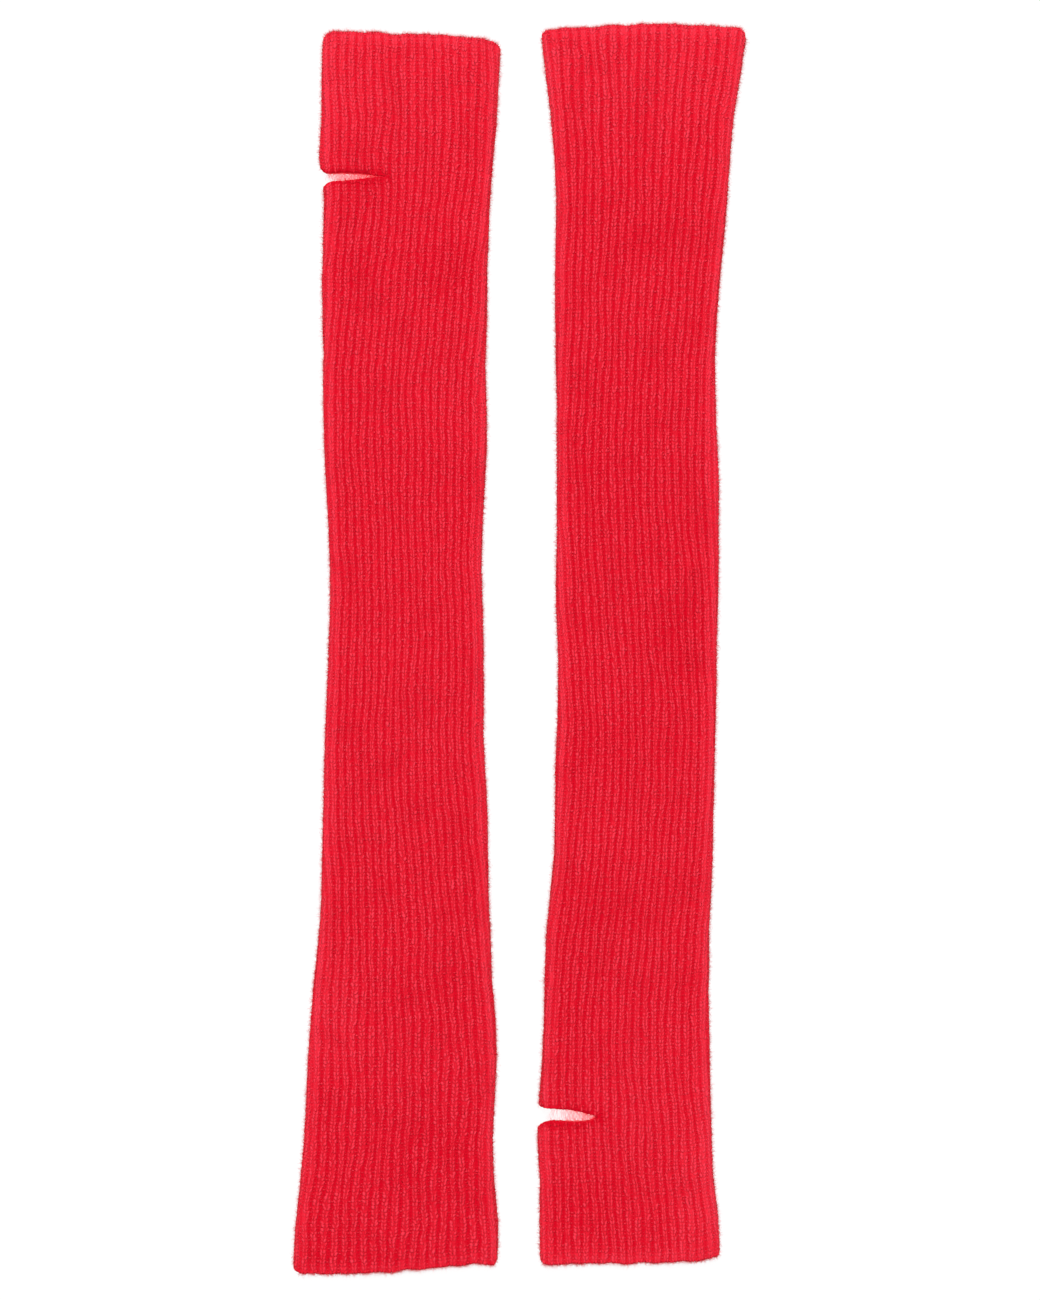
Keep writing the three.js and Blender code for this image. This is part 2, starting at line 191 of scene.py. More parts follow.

# %% [markdown]
# ## How the cloth lies
#
# The upper layer has soft rises and hollows, because the tube was never pressed. Cloth
# simulation could drape it, but it would not put the rises where they are wanted, so each one
# is given as a wide, low bump. The folded borders roll up a little too, as a thick knit
# can't be creased.

# %% Waves of the upper layer
# middle x, middle y, half width across, half length along, slant, height, all but slant in mm
WAVES = {
    "left": [
        (-50, 262, 40, 24, 0.05, 0.5), (-36, 188, 26, 19, 0.25, 1.1),
        (-74, 150, 22, 22, -0.2, 0.5), (-34, 146, 24, 18, 0.3, 0.8),
        (-36, 100, 26, 18, 0.2, 1.0), (-56, 77, 34, 17, 0.1, 0.6),
        (-56, 33, 34, 19, -0.1, 0.9), (-62, -16, 28, 20, 0.1, 0.8),
        (-48, -72, 30, 24, -0.2, 0.6), (-40, -150, 28, 20, 0.1, 1.0),
        (-58, -205, 46, 20, 0.12, 1.2), (-70, -262, 36, 24, 0.1, 0.4),
    ],
    "right": [
        (60, 272, 44, 24, 0.0, 0.5), (56, 212, 34, 20, 0.1, 1.0),
        (64, 150, 30, 24, -0.2, 0.5), (46, 97, 30, 19, 0.2, 1.1),
        (74, 22, 26, 19, 0.25, 1.0), (36, -30, 26, 19, -0.2, 1.0),
        (36, -98, 28, 19, 0.2, 1.1), (26, -138, 22, 22, 0.3, 0.7),
        (70, -180, 24, 26, -0.1, 0.5), (34, -245, 26, 20, 0.2, 0.7),
    ],
}
FOLD_ROLL, FOLD_ROLL_INSET, FOLD_ROLL_WIDTH = 0.6 * MM, 4.5 * MM, 3.0 * MM


def rise_at(side, x, y, left, right):
    rise = np.zeros_like(x)
    for middle_x, middle_y, across, along, slant, height in WAVES[side]:
        sideways = (x / MM - middle_x) / across
        lengthways = (y / MM - middle_y - slant * (x / MM - middle_x)) / along
        rise += height * MM * np.exp(-(sideways**2 + lengthways**2))
    from_fold = np.clip(np.minimum(x - left, right - x), 0, None)
    inside = np.clip(from_fold / (2 * FOLD_ROLL_INSET), 0, 1)
    roll = (from_fold - FOLD_ROLL_INSET) / FOLD_ROLL_WIDTH
    return rise * inside + FOLD_ROLL * np.exp(-(roll**2))

print("waves", {side: len(waves) for side, waves in WAVES.items()})

# %% [markdown]
# ## Soft noise and round corners
#
# Nothing about soft cloth is quite even, so most places get a little noise. Blender's noise
# textures work in materials and modifiers, but here rib and course counts have to be moved. A
# sum of a few sine waves in random directions is smooth, quick and the same on every run. It
# first serves the two ends, which are a little scalloped, with round corners.

# %% Noise and round corners
NOISE_WAVES = 9
NOISE_PACES = (2.2, 5.2)
NOISE_SCALE = 3.6  # brings the sum of the waves to about -1 to 1
CORNER_RADIUS = 3.6 * MM
END_WAVE, END_WAVE_LENGTH, END_WAVE_SEED = 0.32 * MM, 6 * MM, 41
END_PLACES = 481


def soft_noise(a, b, seed):
    """A smooth value from -1 to 1 that changes over a distance of about 1 in a and in b."""
    total = np.zeros(np.broadcast(a, b).shape)
    rng = np.random.default_rng(seed)
    for wave in range(NOISE_WAVES):
        angle, phase = rng.uniform(0, 2 * math.pi, 2)
        pace = rng.uniform(*NOISE_PACES)
        total = total + np.sin(pace * (a * math.cos(angle) + b * math.sin(angle)) + phase)
    return total / NOISE_SCALE


def soften_ends(side):
    """Rounds the corners of the tube's outline and makes its two ends slightly wavy."""
    tube = TUBES[side]
    across = np.linspace(-1, 1, END_PLACES)
    for end, (row, outward) in enumerate(((0, -1.0), (-1, 1.0))):
        half = (tube["right"][row] - tube["left"][row]) / 2
        corner_start = 1 - CORNER_RADIUS / half
        level = np.interp(across, tube["across"], tube["ends"][end])
        straight = np.interp(np.clip(across, -corner_start, corner_start), across, level)
        inside = np.clip(1 - (1 - np.abs(across)) * half / CORNER_RADIUS, 0, 1)
        rounded = straight - outward * CORNER_RADIUS * (1 - np.sqrt(1 - inside**2))
        inner = np.minimum if outward > 0 else np.maximum
        wave = soft_noise(across * half / END_WAVE_LENGTH, float(end), END_WAVE_SEED)
        tube["ends"][end] = inner(level, rounded) - outward * END_WAVE * wave
    tube["across"] = across


for side, tube in TUBES.items():
    soften_ends(side)
    print(side, "ends rise and fall by", [round(np.ptp(end) / MM, 2) for end in tube["ends"]])

# %% [markdown]
# ## A map of the tube
#
# Knitting counts in ribs and courses, not in millimetres. So one function turns a place on the
# knitted tube into a place in space: which rib round the tube, what part of the way from the
# bottom end to the top end, and how high above the wall. Wall, stitches, edges and fibres are
# all laid out in this map, so they can't drift apart.

# %% The map
MAP_SEEDS = {"left": 11, "right": 23}
# Small unevenness: how much, over what length, and how much one rib counts as, where a step
# of 1 makes neighbouring ribs differ about as much as places one such length apart.
WANDER, WANDER_LENGTH, WANDER_STEP = 0.12, 26 * MM, 0.35  # ribs, some ribs together
JITTER, JITTER_LENGTH, JITTER_STEP = 0.065, 6 * MM, 1.3  # ribs, each on its own
PUFF, PUFF_LENGTH, PUFF_STEP = 0.13 * MM, 9 * MM, 0.55  # the cloth's thickness
PUFF_START = 7  # keeps the puffs apart from the wander


def lay_round(length, half_flat):
    """A length of cloth from the upper layer's middle, laid round the fold."""
    whole = 4 * half_flat + 2 * math.pi * FOLD_RADIUS
    length = length - whole * np.round(length / whole)
    sign = np.where(length < 0, -1.0, 1.0)
    length = np.abs(length)
    angle = np.clip((length - half_flat) / FOLD_RADIUS, 0, math.pi)
    flat = np.where(length <= half_flat, length, half_flat)
    under = np.clip(length - half_flat - math.pi * FOLD_RADIUS, 0, None)
    return sign, flat - under, angle


def rib_length(rib, half_flat):
    """The length of cloth from the upper layer's middle to a rib."""
    return rib / RIBS_ROUND * (4 * half_flat + 2 * math.pi * FOLD_RADIUS)


def end_level(side, rib, end):
    """The y of the bottom end (0) or the top end (-1) at a rib."""
    tube = TUBES[side]
    half = (tube["right"][end] - tube["left"][end]) / 2
    half_flat = half - FOLD_RADIUS
    length = rib_length(rib - tube["drift"][end], half_flat)
    sign, flat, angle = lay_round(length, half_flat)
    across = sign * (flat + FOLD_RADIUS * np.sin(angle)) / half
    return np.interp(across, tube["across"], tube["ends"][end])


def map_tube(side, rib, share, height):
    """Places in space, and how far round the fold each one lies, in radians.

    A place is given by its rib, counted from the upper layer's middle, its share of the length
    and its height above the wall.
    """
    tube, seed = TUBES[side], MAP_SEEDS[side]
    rib, share, height = np.broadcast_arrays(rib, share, height)
    bottom, top = end_level(side, rib, 0), end_level(side, rib, -1)
    y = bottom + (top - bottom) * share
    left, right, drift = (np.interp(y, tube["y"], tube[k]) for k in ("left", "right", "drift"))
    drift = drift + WANDER * soft_noise(rib * WANDER_STEP, y / WANDER_LENGTH, seed)
    drift = drift + JITTER * soft_noise(rib * JITTER_STEP, y / JITTER_LENGTH, seed + 2)
    half_flat = (right - left) / 2 - FOLD_RADIUS
    sign, flat, angle = lay_round(rib_length(rib - drift, half_flat), half_flat)
    puff = PUFF * soft_noise(rib * PUFF_STEP + PUFF_START, y / PUFF_LENGTH, seed + 1)
    radius = FOLD_RADIUS + height
    x = (left + right) / 2 + sign * (flat + radius * np.sin(angle))
    top_share = (np.cos(angle) + 1) / 2
    rise = rise_at(side, x, y, left, right) * top_share
    z = FOLD_RADIUS + radius * np.cos(angle) + rise + puff * top_share
    return np.stack([x, y, np.maximum(z, 0.0)], axis=-1), angle


def tube_length(side):
    low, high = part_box(NODES[side])
    return high.y - low.y


print("left middle rib, halfway up", map_tube("left", np.zeros(1), np.full(1, 0.5), 0.0)[0])

# %% [markdown]
# ## How the nap lies, and the painted light and shade
#
# The cloth was brushed, so its short nap is a little paler in some places and deeper in others.
# A painted texture could hold this, but each mesh can carry it by itself: one number for each
# vertex, from 0 for the deepest red to 1 for the palest. The same number also carries painted
# light and shade. A fold or an end has a deep red rim of painted shade, and inside it a smooth
# border of painted sheen that is paler than the rest. Elsewhere soft-edged patches of painted
# light and shade make the cloth a little paler or deeper.

# %% The nap, with painted light and shade
# painted shade: a deep red rim along every fold and end
SHADED_RIM_WIDTH, SHADED_RIM_NAP, SHADED_RIM_BLEND = 1.0 * MM, 0.0, 0.60
BORDER_INSET, BORDER_WIDTH = 1.8 * MM, 2.8 * MM
# painted sheen: a paler border inside the rim, where the fold turns away
SHEEN_BORDER_NAP, SHEEN_BORDER_BLEND = 0.95, 0.56
BORDER_FLATNESS = 0.5  # how much lower the stitches stand on the border
BLOTCH, BLOTCH_LENGTH, BLOTCH_SEED = 0.03, 4.5 * MM, 71  # the brushing left the nap blotchy

# middle x, middle y, half width, half length in mm, change of the nap: painted light where it is
# positive, painted shade where it is negative
LIGHT_AND_SHADE_PATCHES = {
    "left": [
        (-50, 302, 90, 58, 0.14), (-94, 262, 14, 40, 0.08), (-30, 180, 22, 14, -0.09),
        (-80, 180, 16, 14, -0.06), (-56, 72, 50, 26, -0.04), (-51, -113, 40, 26, -0.04),
        (-46, -168, 36, 16, -0.05), (-90, -178, 12, 26, 0.14), (-60, -265, 64, 52, -0.06),
        (-39, -240, 22, 18, -0.04), (-60, -297, 60, 6, -0.12), (-66, 226.8, 6, 2.5, -0.35),
        (-80, 229.3, 15, 1.1, -0.35), (-80, 223.9, 13, 1.1, -0.40),
    ],
    "right": [
        (59, 306, 90, 52, 0.16), (52, 202, 26, 20, -0.05), (38, 100, 30, 40, -0.06),
        (74, 2, 14, 18, -0.08), (34, -48, 30, 18, -0.07), (34, -120, 26, 18, -0.06),
        (26, -165, 18, 36, -0.06), (56, 20, 40, 60, -0.03), (66, -210, 26, 30, 0.06),
        (88, -262, 16, 32, 0.18), (26, -266, 22, 16, -0.08), (66, -296.5, 60, 2.5, 0.10),
        (36, -224.6, 6, 2.5, -0.35), (22, -220.2, 13, 1.1, -0.20), (20, -228.3, 13, 1.8, -0.60),
    ],
}


def painted_patches(side, x, y):
    """How much the patches of painted light and shade add to the nap of a place."""
    change = np.zeros(np.broadcast(x, y).shape)
    for middle_x, middle_y, across, along, amount in LIGHT_AND_SHADE_PATCHES[side]:
        sideways = (x / MM - middle_x) / across
        lengthways = (y / MM - middle_y) / along
        change = change + amount * np.exp(-(sideways**4 + lengthways**4))
    return change


def edge_inset(side, x, y):
    """How far a place lies inside the nearest fold or end of the tube."""
    tube = TUBES[side]
    left, right = (np.interp(y, tube["y"], tube[fold]) for fold in ("left", "right"))
    across = np.clip((2 * x - left - right) / (right - left), -1, 1)
    bottom, top = (np.interp(across, tube["across"], end) for end in tube["ends"])
    inset = np.minimum(np.minimum(x - left, right - x), np.minimum(y - bottom, top - y))
    return np.clip(inset, 0, None)


def border_share(inset):
    """1 up to the border's inset, falling to 0 over a few millimetres."""
    return np.exp(-((np.clip(inset - BORDER_INSET, 0, None) / BORDER_WIDTH) ** 2))


def brushed_and_shaded(side, nap_and_shading, x, y):
    """The nap of a place: blotches, border of painted sheen, rim of painted shade, painted
    patches.
    """
    inset = edge_inset(side, x, y)
    nap_and_shading = nap_and_shading + BLOTCH * soft_noise(x / BLOTCH_LENGTH, y / BLOTCH_LENGTH, BLOTCH_SEED)
    # painted sheen on the border
    nap_and_shading = nap_and_shading + (SHEEN_BORDER_NAP - nap_and_shading) * SHEEN_BORDER_BLEND * border_share(inset)
    # painted shade on the rim
    nap_and_shading = nap_and_shading + (SHADED_RIM_NAP - nap_and_shading) * SHADED_RIM_BLEND * np.exp(-((inset / SHADED_RIM_WIDTH) ** 2))
    # and the patches of painted light and shade
    return nap_and_shading + painted_patches(side, x, y)


print("patches", {side: len(patches) for side, patches in LIGHT_AND_SHADE_PATCHES.items()})

# %% [markdown]
# ## From points to a piece
#
# Every piece here is worked out as arrays of points, so one helper turns points and faces into
# an object. bmesh could add them one by one, but foreach_set hands over a whole array, which is
# quick even for a hundred thousand faces. Two more helpers store what the materials need: the
# rib and course counts as a UV map, and the nap with its painted light and shade as an attribute.

# %% Mesh helpers
KNIT_MAP = "knit"
NAP_AND_SHADING = "nap_and_shading"
COURSE = 1.70 * MM  # one row of stitches


def new_mesh(name, points, faces):
    """An object from an array of points and an array of faces with equal numbers of corners."""
    mesh = bpy.data.meshes.new(name)
    mesh.vertices.add(len(points))
    mesh.vertices.foreach_set("co", points.astype(np.float32).ravel())
    sizes = faces.shape[1]
    mesh.loops.add(faces.size)
    mesh.loops.foreach_set("vertex_index", faces.astype(np.int32).ravel())
    mesh.polygons.add(len(faces))
    mesh.polygons.foreach_set("loop_start", np.arange(0, faces.size, sizes, dtype=np.int32))
    mesh.update(calc_edges=True)
    mesh.validate()
    mesh.shade_smooth()
    piece = bpy.data.objects.new(name, mesh)
    bpy.context.scene.collection.objects.link(piece)
    return piece


def repeated(faces, count, points_each):
    """The faces of many equal shapes whose points follow each other."""
    return faces[None] + (np.arange(count) * points_each)[:, None, None]


def add_knit_map(piece, ribs, courses):
    """Stores rib and course counts as a UV map, one pair for each vertex."""
    mesh = piece.data
    layer = mesh.uv_layers.new(name=KNIT_MAP)
    corners = np.zeros(len(mesh.loops), int)
    mesh.loops.foreach_get("vertex_index", corners)
    pairs = np.stack([ribs[corners], courses[corners]], axis=-1)
    layer.data.foreach_set("uv", pairs.astype(np.float32).ravel())


def add_nap_and_shading(piece, values):
    """Stores the nap of each vertex with its painted light and shade, from 0 to 1."""
    layer = piece.data.attributes.new(NAP_AND_SHADING, "FLOAT", "POINT")
    layer.data.foreach_set("value", np.clip(values, 0, 1).astype(np.float32).ravel())


print("each mesh carries", KNIT_MAP, "and", NAP_AND_SHADING)

# %% [markdown]
# ## The wall
#
# Under the stitches lies the cloth itself: a closed wall with its ribs, its rounded ends and its
# hollow inside. It could be one sheet with a Solidify modifier, but then its two ends would be
# cut square. Here the wall is one grid that runs up the outside, over the top end, down the
# inside and back round the bottom end, so that both ends are round.

# %% Rows and columns of the wall
RIB_CREST = 0.45  # the flat part of a rib
RIB_FADE_ANGLE = 2.4  # how far round a fold the ribs can still be felt, in radians
POINTS_ON_RIB = 6
RAISED_RIBS = 12  # from the middle rib to past each fold
PLAIN_RIB_STEP = 0.5
WALL_ROWS = 160
INNER_ROWS = 44
ROUND_STEPS = 5


def rib_profile(rib):
    """0 in the furrow between two ribs, 1 on the rib."""
    place = np.abs(rib - np.round(rib)) * 2
    slope = np.clip((place - RIB_CREST) / (1 - RIB_CREST), 0, 1)
    return 0.5 + 0.5 * np.cos(math.pi * slope)


def rib_fade(angle):
    """1 on the upper layer, falling to 0 round the fold."""
    return np.clip(1 - angle / RIB_FADE_ANGLE, 0, 1)


def wall_columns():
    """Rib counts of the wall's columns, once round the tube."""
    raised = np.arange(-RAISED_RIBS - 0.5, RAISED_RIBS + 0.5, 1 / POINTS_ON_RIB)
    plain = np.arange(RAISED_RIBS + 0.5, RIBS_ROUND - RAISED_RIBS - 0.5, PLAIN_RIB_STEP)
    return np.concatenate([raised, plain])


def wall_rows(side):
    """Share of the length and depth into the wall of every row, round the whole wall."""
    rounding = WALL / 2 / tube_length(side)
    turn = np.linspace(0, math.pi, ROUND_STEPS + 2)[1:-1]
    over = (1 - rounding + rounding * np.sin(turn), WALL / 2 * (1 - np.cos(turn)))
    up = (np.linspace(rounding, 1 - rounding, WALL_ROWS), np.zeros(WALL_ROWS))
    down = (np.linspace(1 - rounding, rounding, INNER_ROWS), np.full(INNER_ROWS, WALL))
    back = (rounding - rounding * np.sin(turn), WALL / 2 * (1 + np.cos(turn)))
    parts = [up, over, down, back]
    return np.concatenate([p[0] for p in parts]), np.concatenate([p[1] for p in parts])


print("wall grid", len(wall_columns()), "columns,", len(wall_rows("left")[0]), "rows")

# %% Build the wall
RIB_LIFT = 0.34 * MM  # the wall's own part of a rib: the stitches stand on it
# painted shade in the wall's furrows: a nap of 0 there, the first value on a rib
WALL_FURROW_SHADE, UNDERSIDE_NAP = 0.26, 0.35


def build_wall(side):
    columns = wall_columns()
    shares, depths = wall_rows(side)
    rib, share = np.meshgrid(columns, shares)
    depth = np.repeat(depths[:, None], len(columns), axis=1)
    outside = 1 - depth / WALL
    smooth_wall, angle = map_tube(side, rib, share, -depth)
    border = border_share(edge_inset(side, smooth_wall[..., 0], smooth_wall[..., 1]))
    lift = RIB_LIFT * rib_profile(rib) * rib_fade(angle) * outside
    lift = lift * (1 - BORDER_FLATNESS * border)
    points, _ = map_tube(side, rib, share, lift - depth)
    index = np.arange(rib.size).reshape(rib.shape)
    right = np.roll(index, -1, axis=1)
    corners = [index, right, np.roll(right, -1, axis=0), np.roll(index, -1, axis=0)]
    faces = np.stack(corners, axis=-1).reshape(-1, 4)
    piece = new_mesh(f"{side}_wall", points.reshape(-1, 3), faces)
    add_knit_map(piece, rib.ravel(), share.ravel() * tube_length(side) / COURSE)
    # painted shade in the furrows, where the rib profile falls to 0
    nap_and_shading = WALL_FURROW_SHADE * rib_profile(rib) + (angle > RIB_FADE_ANGLE) * UNDERSIDE_NAP
    add_nap_and_shading(piece, brushed_and_shaded(side, nap_and_shading, points[..., 0], points[..., 1]))
    return piece


walls = {side: build_wall(side) for side in NODES}
print("wall faces", {side: len(w.data.polygons) for side, w in walls.items()})

# %% [markdown]
# ## The thumb slits
#
# The slit is left open by the knitter, through both layers at the fold. The mesh could be
# parted row by row, but cutting it with a wedge is shorter and gives the same opening as the
# solids have. The wedge follows the two lips of the slit, with a round corner at each.

# %% Cut the slits
# x, y of the upper lip, then of the lower lip, from the fold inwards, in mm
SLITS = {
    "left": {
        "upper": [(-96.4, 232.6), (-95.4, 230.4), (-93.6, 228.7), (-91.4, 228.3),
                  (-86.0, 228.5), (-79.0, 228.4), (-73.0, 227.9), (-68.0, 227.2)],
        "lower": [(-94.6, 219.8), (-94.0, 221.8), (-92.7, 223.3), (-91.0, 224.0),
                  (-86.0, 224.4), (-79.0, 225.1), (-73.0, 225.8), (-68.0, 226.3)],
        "end": (-64.2, 226.8),
    },
    "right": {
        "upper": [(8.9, -218.2), (9.6, -219.2), (12.2, -220.1), (18.2, -220.6),
                  (24.2, -220.9), (30.2, -222.2), (33.8, -223.1)],
        "lower": [(8.2, -231.2), (8.8, -229.6), (9.9, -228.3), (12.2, -227.1), (15.2, -226.5),
                  (21.3, -226.7), (27.2, -226.9), (33.4, -226.5), (35.8, -225.4)],
        "end": (37.2, -224.5),
    },
}
OVERCUT = 8.0  # mm by which the wedge runs past the cloth
LIP_STEPS = 60


def slit_path(side, lip):
    """A lip of a slit from the fold to the slit's end, as evenly spaced places in metres."""
    corners = np.array(SLITS[side][lip] + [SLITS[side]["end"]]) * MM
    steps = np.linalg.norm(np.diff(corners, axis=0), axis=1)
    along = np.concatenate([[0], np.cumsum(steps)])
    places = np.linspace(0, along[-1], LIP_STEPS)
    return np.stack([np.interp(places, along, corners[:, i]) for i in (0, 1)], axis=-1)


def build_wedge(side):
    """A solid that fills a slit, from the fold's outside to the slit's end."""
    upper, lower = slit_path(side, "upper"), slit_path(side, "lower")
    outside = min(upper[0, 0], lower[0, 0]) - OVERCUT * MM
    outline = [(outside, upper[0, 1]), *upper, *lower[::-1][1:], (outside, lower[0, 1])]
    count = len(outline)
    verts = [(x, y, z) for z in (-OVERCUT * MM, 2 * OVERCUT * MM) for x, y in outline]
    faces = [tuple(range(count)), tuple(reversed(range(count, 2 * count)))]
    faces += [(i, i + count, (i + 1) % count + count, (i + 1) % count) for i in range(count)]
    mesh = bpy.data.meshes.new("slit_wedge")
    mesh.from_pydata(verts, [], faces)
    wedge = bpy.data.objects.new("slit_wedge", mesh)
    bpy.context.scene.collection.objects.link(wedge)
    return wedge


def cut_slit(side):
    """Takes the wedge out of the wall, and leaves the wall with no modifier."""
    wall, wedge = walls[side], build_wedge(side)
    cut = wall.modifiers.new("slit", "BOOLEAN")
    cut.operation = "DIFFERENCE"
    cut.solver = "EXACT"
    cut.object = wedge
    bpy.context.view_layer.update()
    evaluated = wall.evaluated_get(bpy.context.evaluated_depsgraph_get())
    cut_mesh = bpy.data.meshes.new_from_object(evaluated)
    wall.modifiers.clear()
    wall.data = cut_mesh
    bpy.data.objects.remove(wedge)


for side in NODES:
    cut_slit(side)
print("wall faces after the cut", {side: len(w.data.polygons) for side, w in walls.items()})

# %% [markdown]
# ## The stitches
#
# Each rib is a column of V-shaped knit stitches, and each V has two legs of thick, soft yarn.
# A bump texture could draw them, but their height catches the light and shows at the folds, so
# they are meshes. One leg is a short spindle with a tip at each end. It is described once, in
# ribs, courses and height, and then carried over the tube by the map, so that it leans and
# widens with the cloth. No two legs are quite alike.

# %% One stitch leg
LEG_SIDES = 4
LEG_TURNS = np.arange(LEG_SIDES) / LEG_SIDES * 2 * math.pi + math.pi / 2
LEG_STATIONS = (0.32, 0.70)  # where its two rings are, as parts of its length


def leg_template():
    """The points of one leg: sideways, along and up, and its triangles."""
    foot = [0.0, -0.5, -1.0]
    rings = []
    for station in LEG_STATIONS:
        for turn in LEG_TURNS:
            rings.append([math.cos(turn), station - 0.5, math.sin(turn)])
    points = np.array([foot] + rings + [[0.0, 0.5, -1.0]])
    head = len(points) - 1
    faces = []
    for i in range(LEG_SIDES):
        a, b = 1 + i, 1 + (i + 1) % LEG_SIDES
        c, d = a + LEG_SIDES, b + LEG_SIDES
        faces += [[0, b, a], [a, b, d], [a, d, c], [c, d, head]]
    return points, np.array(faces)


print("triangles of one leg", len(leg_template()[1]))

# %% Where stitches can be
STITCH_RIBS = 13  # on each side of the middle rib
LAST_STITCH_ANGLE, LAST_PURL_ANGLE = 2.2, 2.0  # how far round a fold they go, in radians
SLIT_CLEARANCE = 0.7 * MM
COURSE_JITTER = 0.10  # courses that a stitch is off its place


def inside_slit(side, x, y, clearance):
    upper, lower = slit_path(side, "upper"), slit_path(side, "lower")
    near_end = x < SLITS[side]["end"][0] * MM + clearance
    above = np.interp(x, upper[:, 0], upper[:, 1])
    below = np.interp(x, lower[:, 0], lower[:, 1])
    return near_end & (y < above + clearance) & (y > below - clearance)


def course_count(side):
    return int(tube_length(side) / COURSE)


def course_share(side, course, rng):
    """The share of the length at which each stitch of a course lies."""
    return (course + 0.5 + rng.normal(0, COURSE_JITTER, len(course))) / course_count(side)


def showing(side, rib, share, last_angle):
    """Places of stitches on the tube, how far round the fold they are, and which ones to keep."""
    places, angle = map_tube(side, rib, share, 0.0)
    kept = angle < last_angle
    kept &= ~inside_slit(side, places[:, 0], places[:, 1], SLIT_CLEARANCE)
    return places, angle, kept


print("courses", {side: course_count(side) for side in NODES})

# %% Lay the stitches
LEG_LENGTH = 1.50  # courses
LEG_HALF_WIDTH = 0.145  # ribs
LEG_HALF_HEIGHT = 0.30 * MM
LEG_FOOT, LEG_HEAD = 0.105, 0.240  # ribs from the rib's middle at the lower and upper end
LEG_LEVEL = 0.40 * MM
LEG_TIP_DROP = 0.22 * MM
LEG_FOLD_HEIGHT = 0.35  # the part of its height that a leg keeps round the fold
WIDTH_SPREAD, HEIGHT_SPREAD, LENGTH_SPREAD, LEAN_SPREAD = 0.14, 0.12, 0.10, 0.45
ASIDE_SPREAD = 0.036  # ribs
# the second value is painted light on a leg's top and painted shade on its underside
STITCH_NAP, STITCH_TOP_LIGHT = 0.53, 0.27  # beside a leg, and what its top adds
# painted shade on a leg's tips, where they dip into the furrows
TIP_SHADE, NAP_SPREAD = 0.10, 0.06
STITCH_UNEVENNESS, STITCH_LIFT = 0.10, 0.09 * MM  # a whole stitch is paler and stands higher
LEG_UNEVENNESS, LEG_LIFT = 0.16, 0.07 * MM  # one leg is paler and stands higher
RIB_UNEVENNESS, RIB_UNEVENNESS_LENGTH, RIB_UNEVENNESS_STEP = 0.06, 2.2 * MM, 3.7
RIB_UNEVENNESS_SEED = 40


def stitch_grid(side, rng):
    """For each leg that shows: rib, hand, share, angle, noises, x and y, each as a column."""
    ribs = np.arange(-STITCH_RIBS, STITCH_RIBS + 1)
    courses = np.arange(course_count(side))
    grid = np.meshgrid(ribs, courses, (-1.0, 1.0), indexing="ij")
    rib, course, hand = (values.ravel() for values in grid)
    share = course_share(side, course, rng)
    stitch_noise = np.repeat(rng.normal(0, 1, len(rib) // 2), 2)  # the same for both legs
    leg_noise = np.repeat(rng.normal(0, 1, len(rib) // 2), 2) * hand  # opposite for the two
    middle = rib + hand * (LEG_FOOT + LEG_HEAD) / 2
    places, angle, kept = showing(side, middle, share, LAST_STITCH_ANGLE)
    columns = (rib, hand, share, angle, stitch_noise, leg_noise, places[:, 0], places[:, 1])
    return [column[kept][:, None] for column in columns]


def lay_legs(side, seed):
    rng = np.random.default_rng(seed)
    rib, hand, share, angle, stitch_noise, leg_noise, x, y = stitch_grid(side, rng)
    along_rib = soft_noise(
        rib * RIB_UNEVENNESS_STEP, y / RIB_UNEVENNESS_LENGTH, seed + RIB_UNEVENNESS_SEED
    )
    courses = course_count(side)
    template, triangles = leg_template()
    across, along, up = template.T
    tip = np.abs(along) == 0.5
    width = LEG_HALF_WIDTH * rng.normal(1, WIDTH_SPREAD, rib.shape)
    tall = LEG_HALF_HEIGHT * rng.normal(1, HEIGHT_SPREAD, rib.shape)
    long = LEG_LENGTH * rng.normal(1, LENGTH_SPREAD, rib.shape) / courses
    lean = (LEG_HEAD - LEG_FOOT) * rng.normal(1, LEAN_SPREAD, rib.shape)
    aside = rng.normal(0, ASIDE_SPREAD, rib.shape)
    level = LEG_LEVEL + STITCH_LIFT * (stitch_noise + along_rib) / 2 + LEG_LIFT * leg_noise
    spindle = (LEG_FOOT + LEG_HEAD) / 2 + lean * along + across * width
    leg_rib = rib + aside + hand * spindle
    leg_share = share + along * long
    height = level + np.where(tip, -LEG_TIP_DROP, up * tall)
    height = height * (LEG_FOLD_HEIGHT + (1 - LEG_FOLD_HEIGHT) * rib_fade(angle))
    height = height * (1 - BORDER_FLATNESS * border_share(edge_inset(side, x, y)))
    points, _ = map_tube(side, leg_rib, np.clip(leg_share, 0, 1), height)
    # painted shade on the tips and under a leg, painted light on its top
    nap_and_shading = np.where(tip, TIP_SHADE, STITCH_NAP + STITCH_TOP_LIGHT * up)
    nap_and_shading = nap_and_shading + rng.normal(0, NAP_SPREAD, rib.shape)
    nap_and_shading = nap_and_shading + STITCH_UNEVENNESS * stitch_noise + RIB_UNEVENNESS * along_rib
    nap_and_shading = brushed_and_shaded(side, nap_and_shading + LEG_UNEVENNESS * leg_noise, x, y)
    faces = repeated(triangles, len(rib), len(template))
    mirrored = hand[:, 0] > 0
    faces[mirrored] = faces[mirrored][:, :, ::-1]
    return two_pieces(f"{side}_stitches", points, faces, leg_rib, leg_share * courses, nap_and_shading)


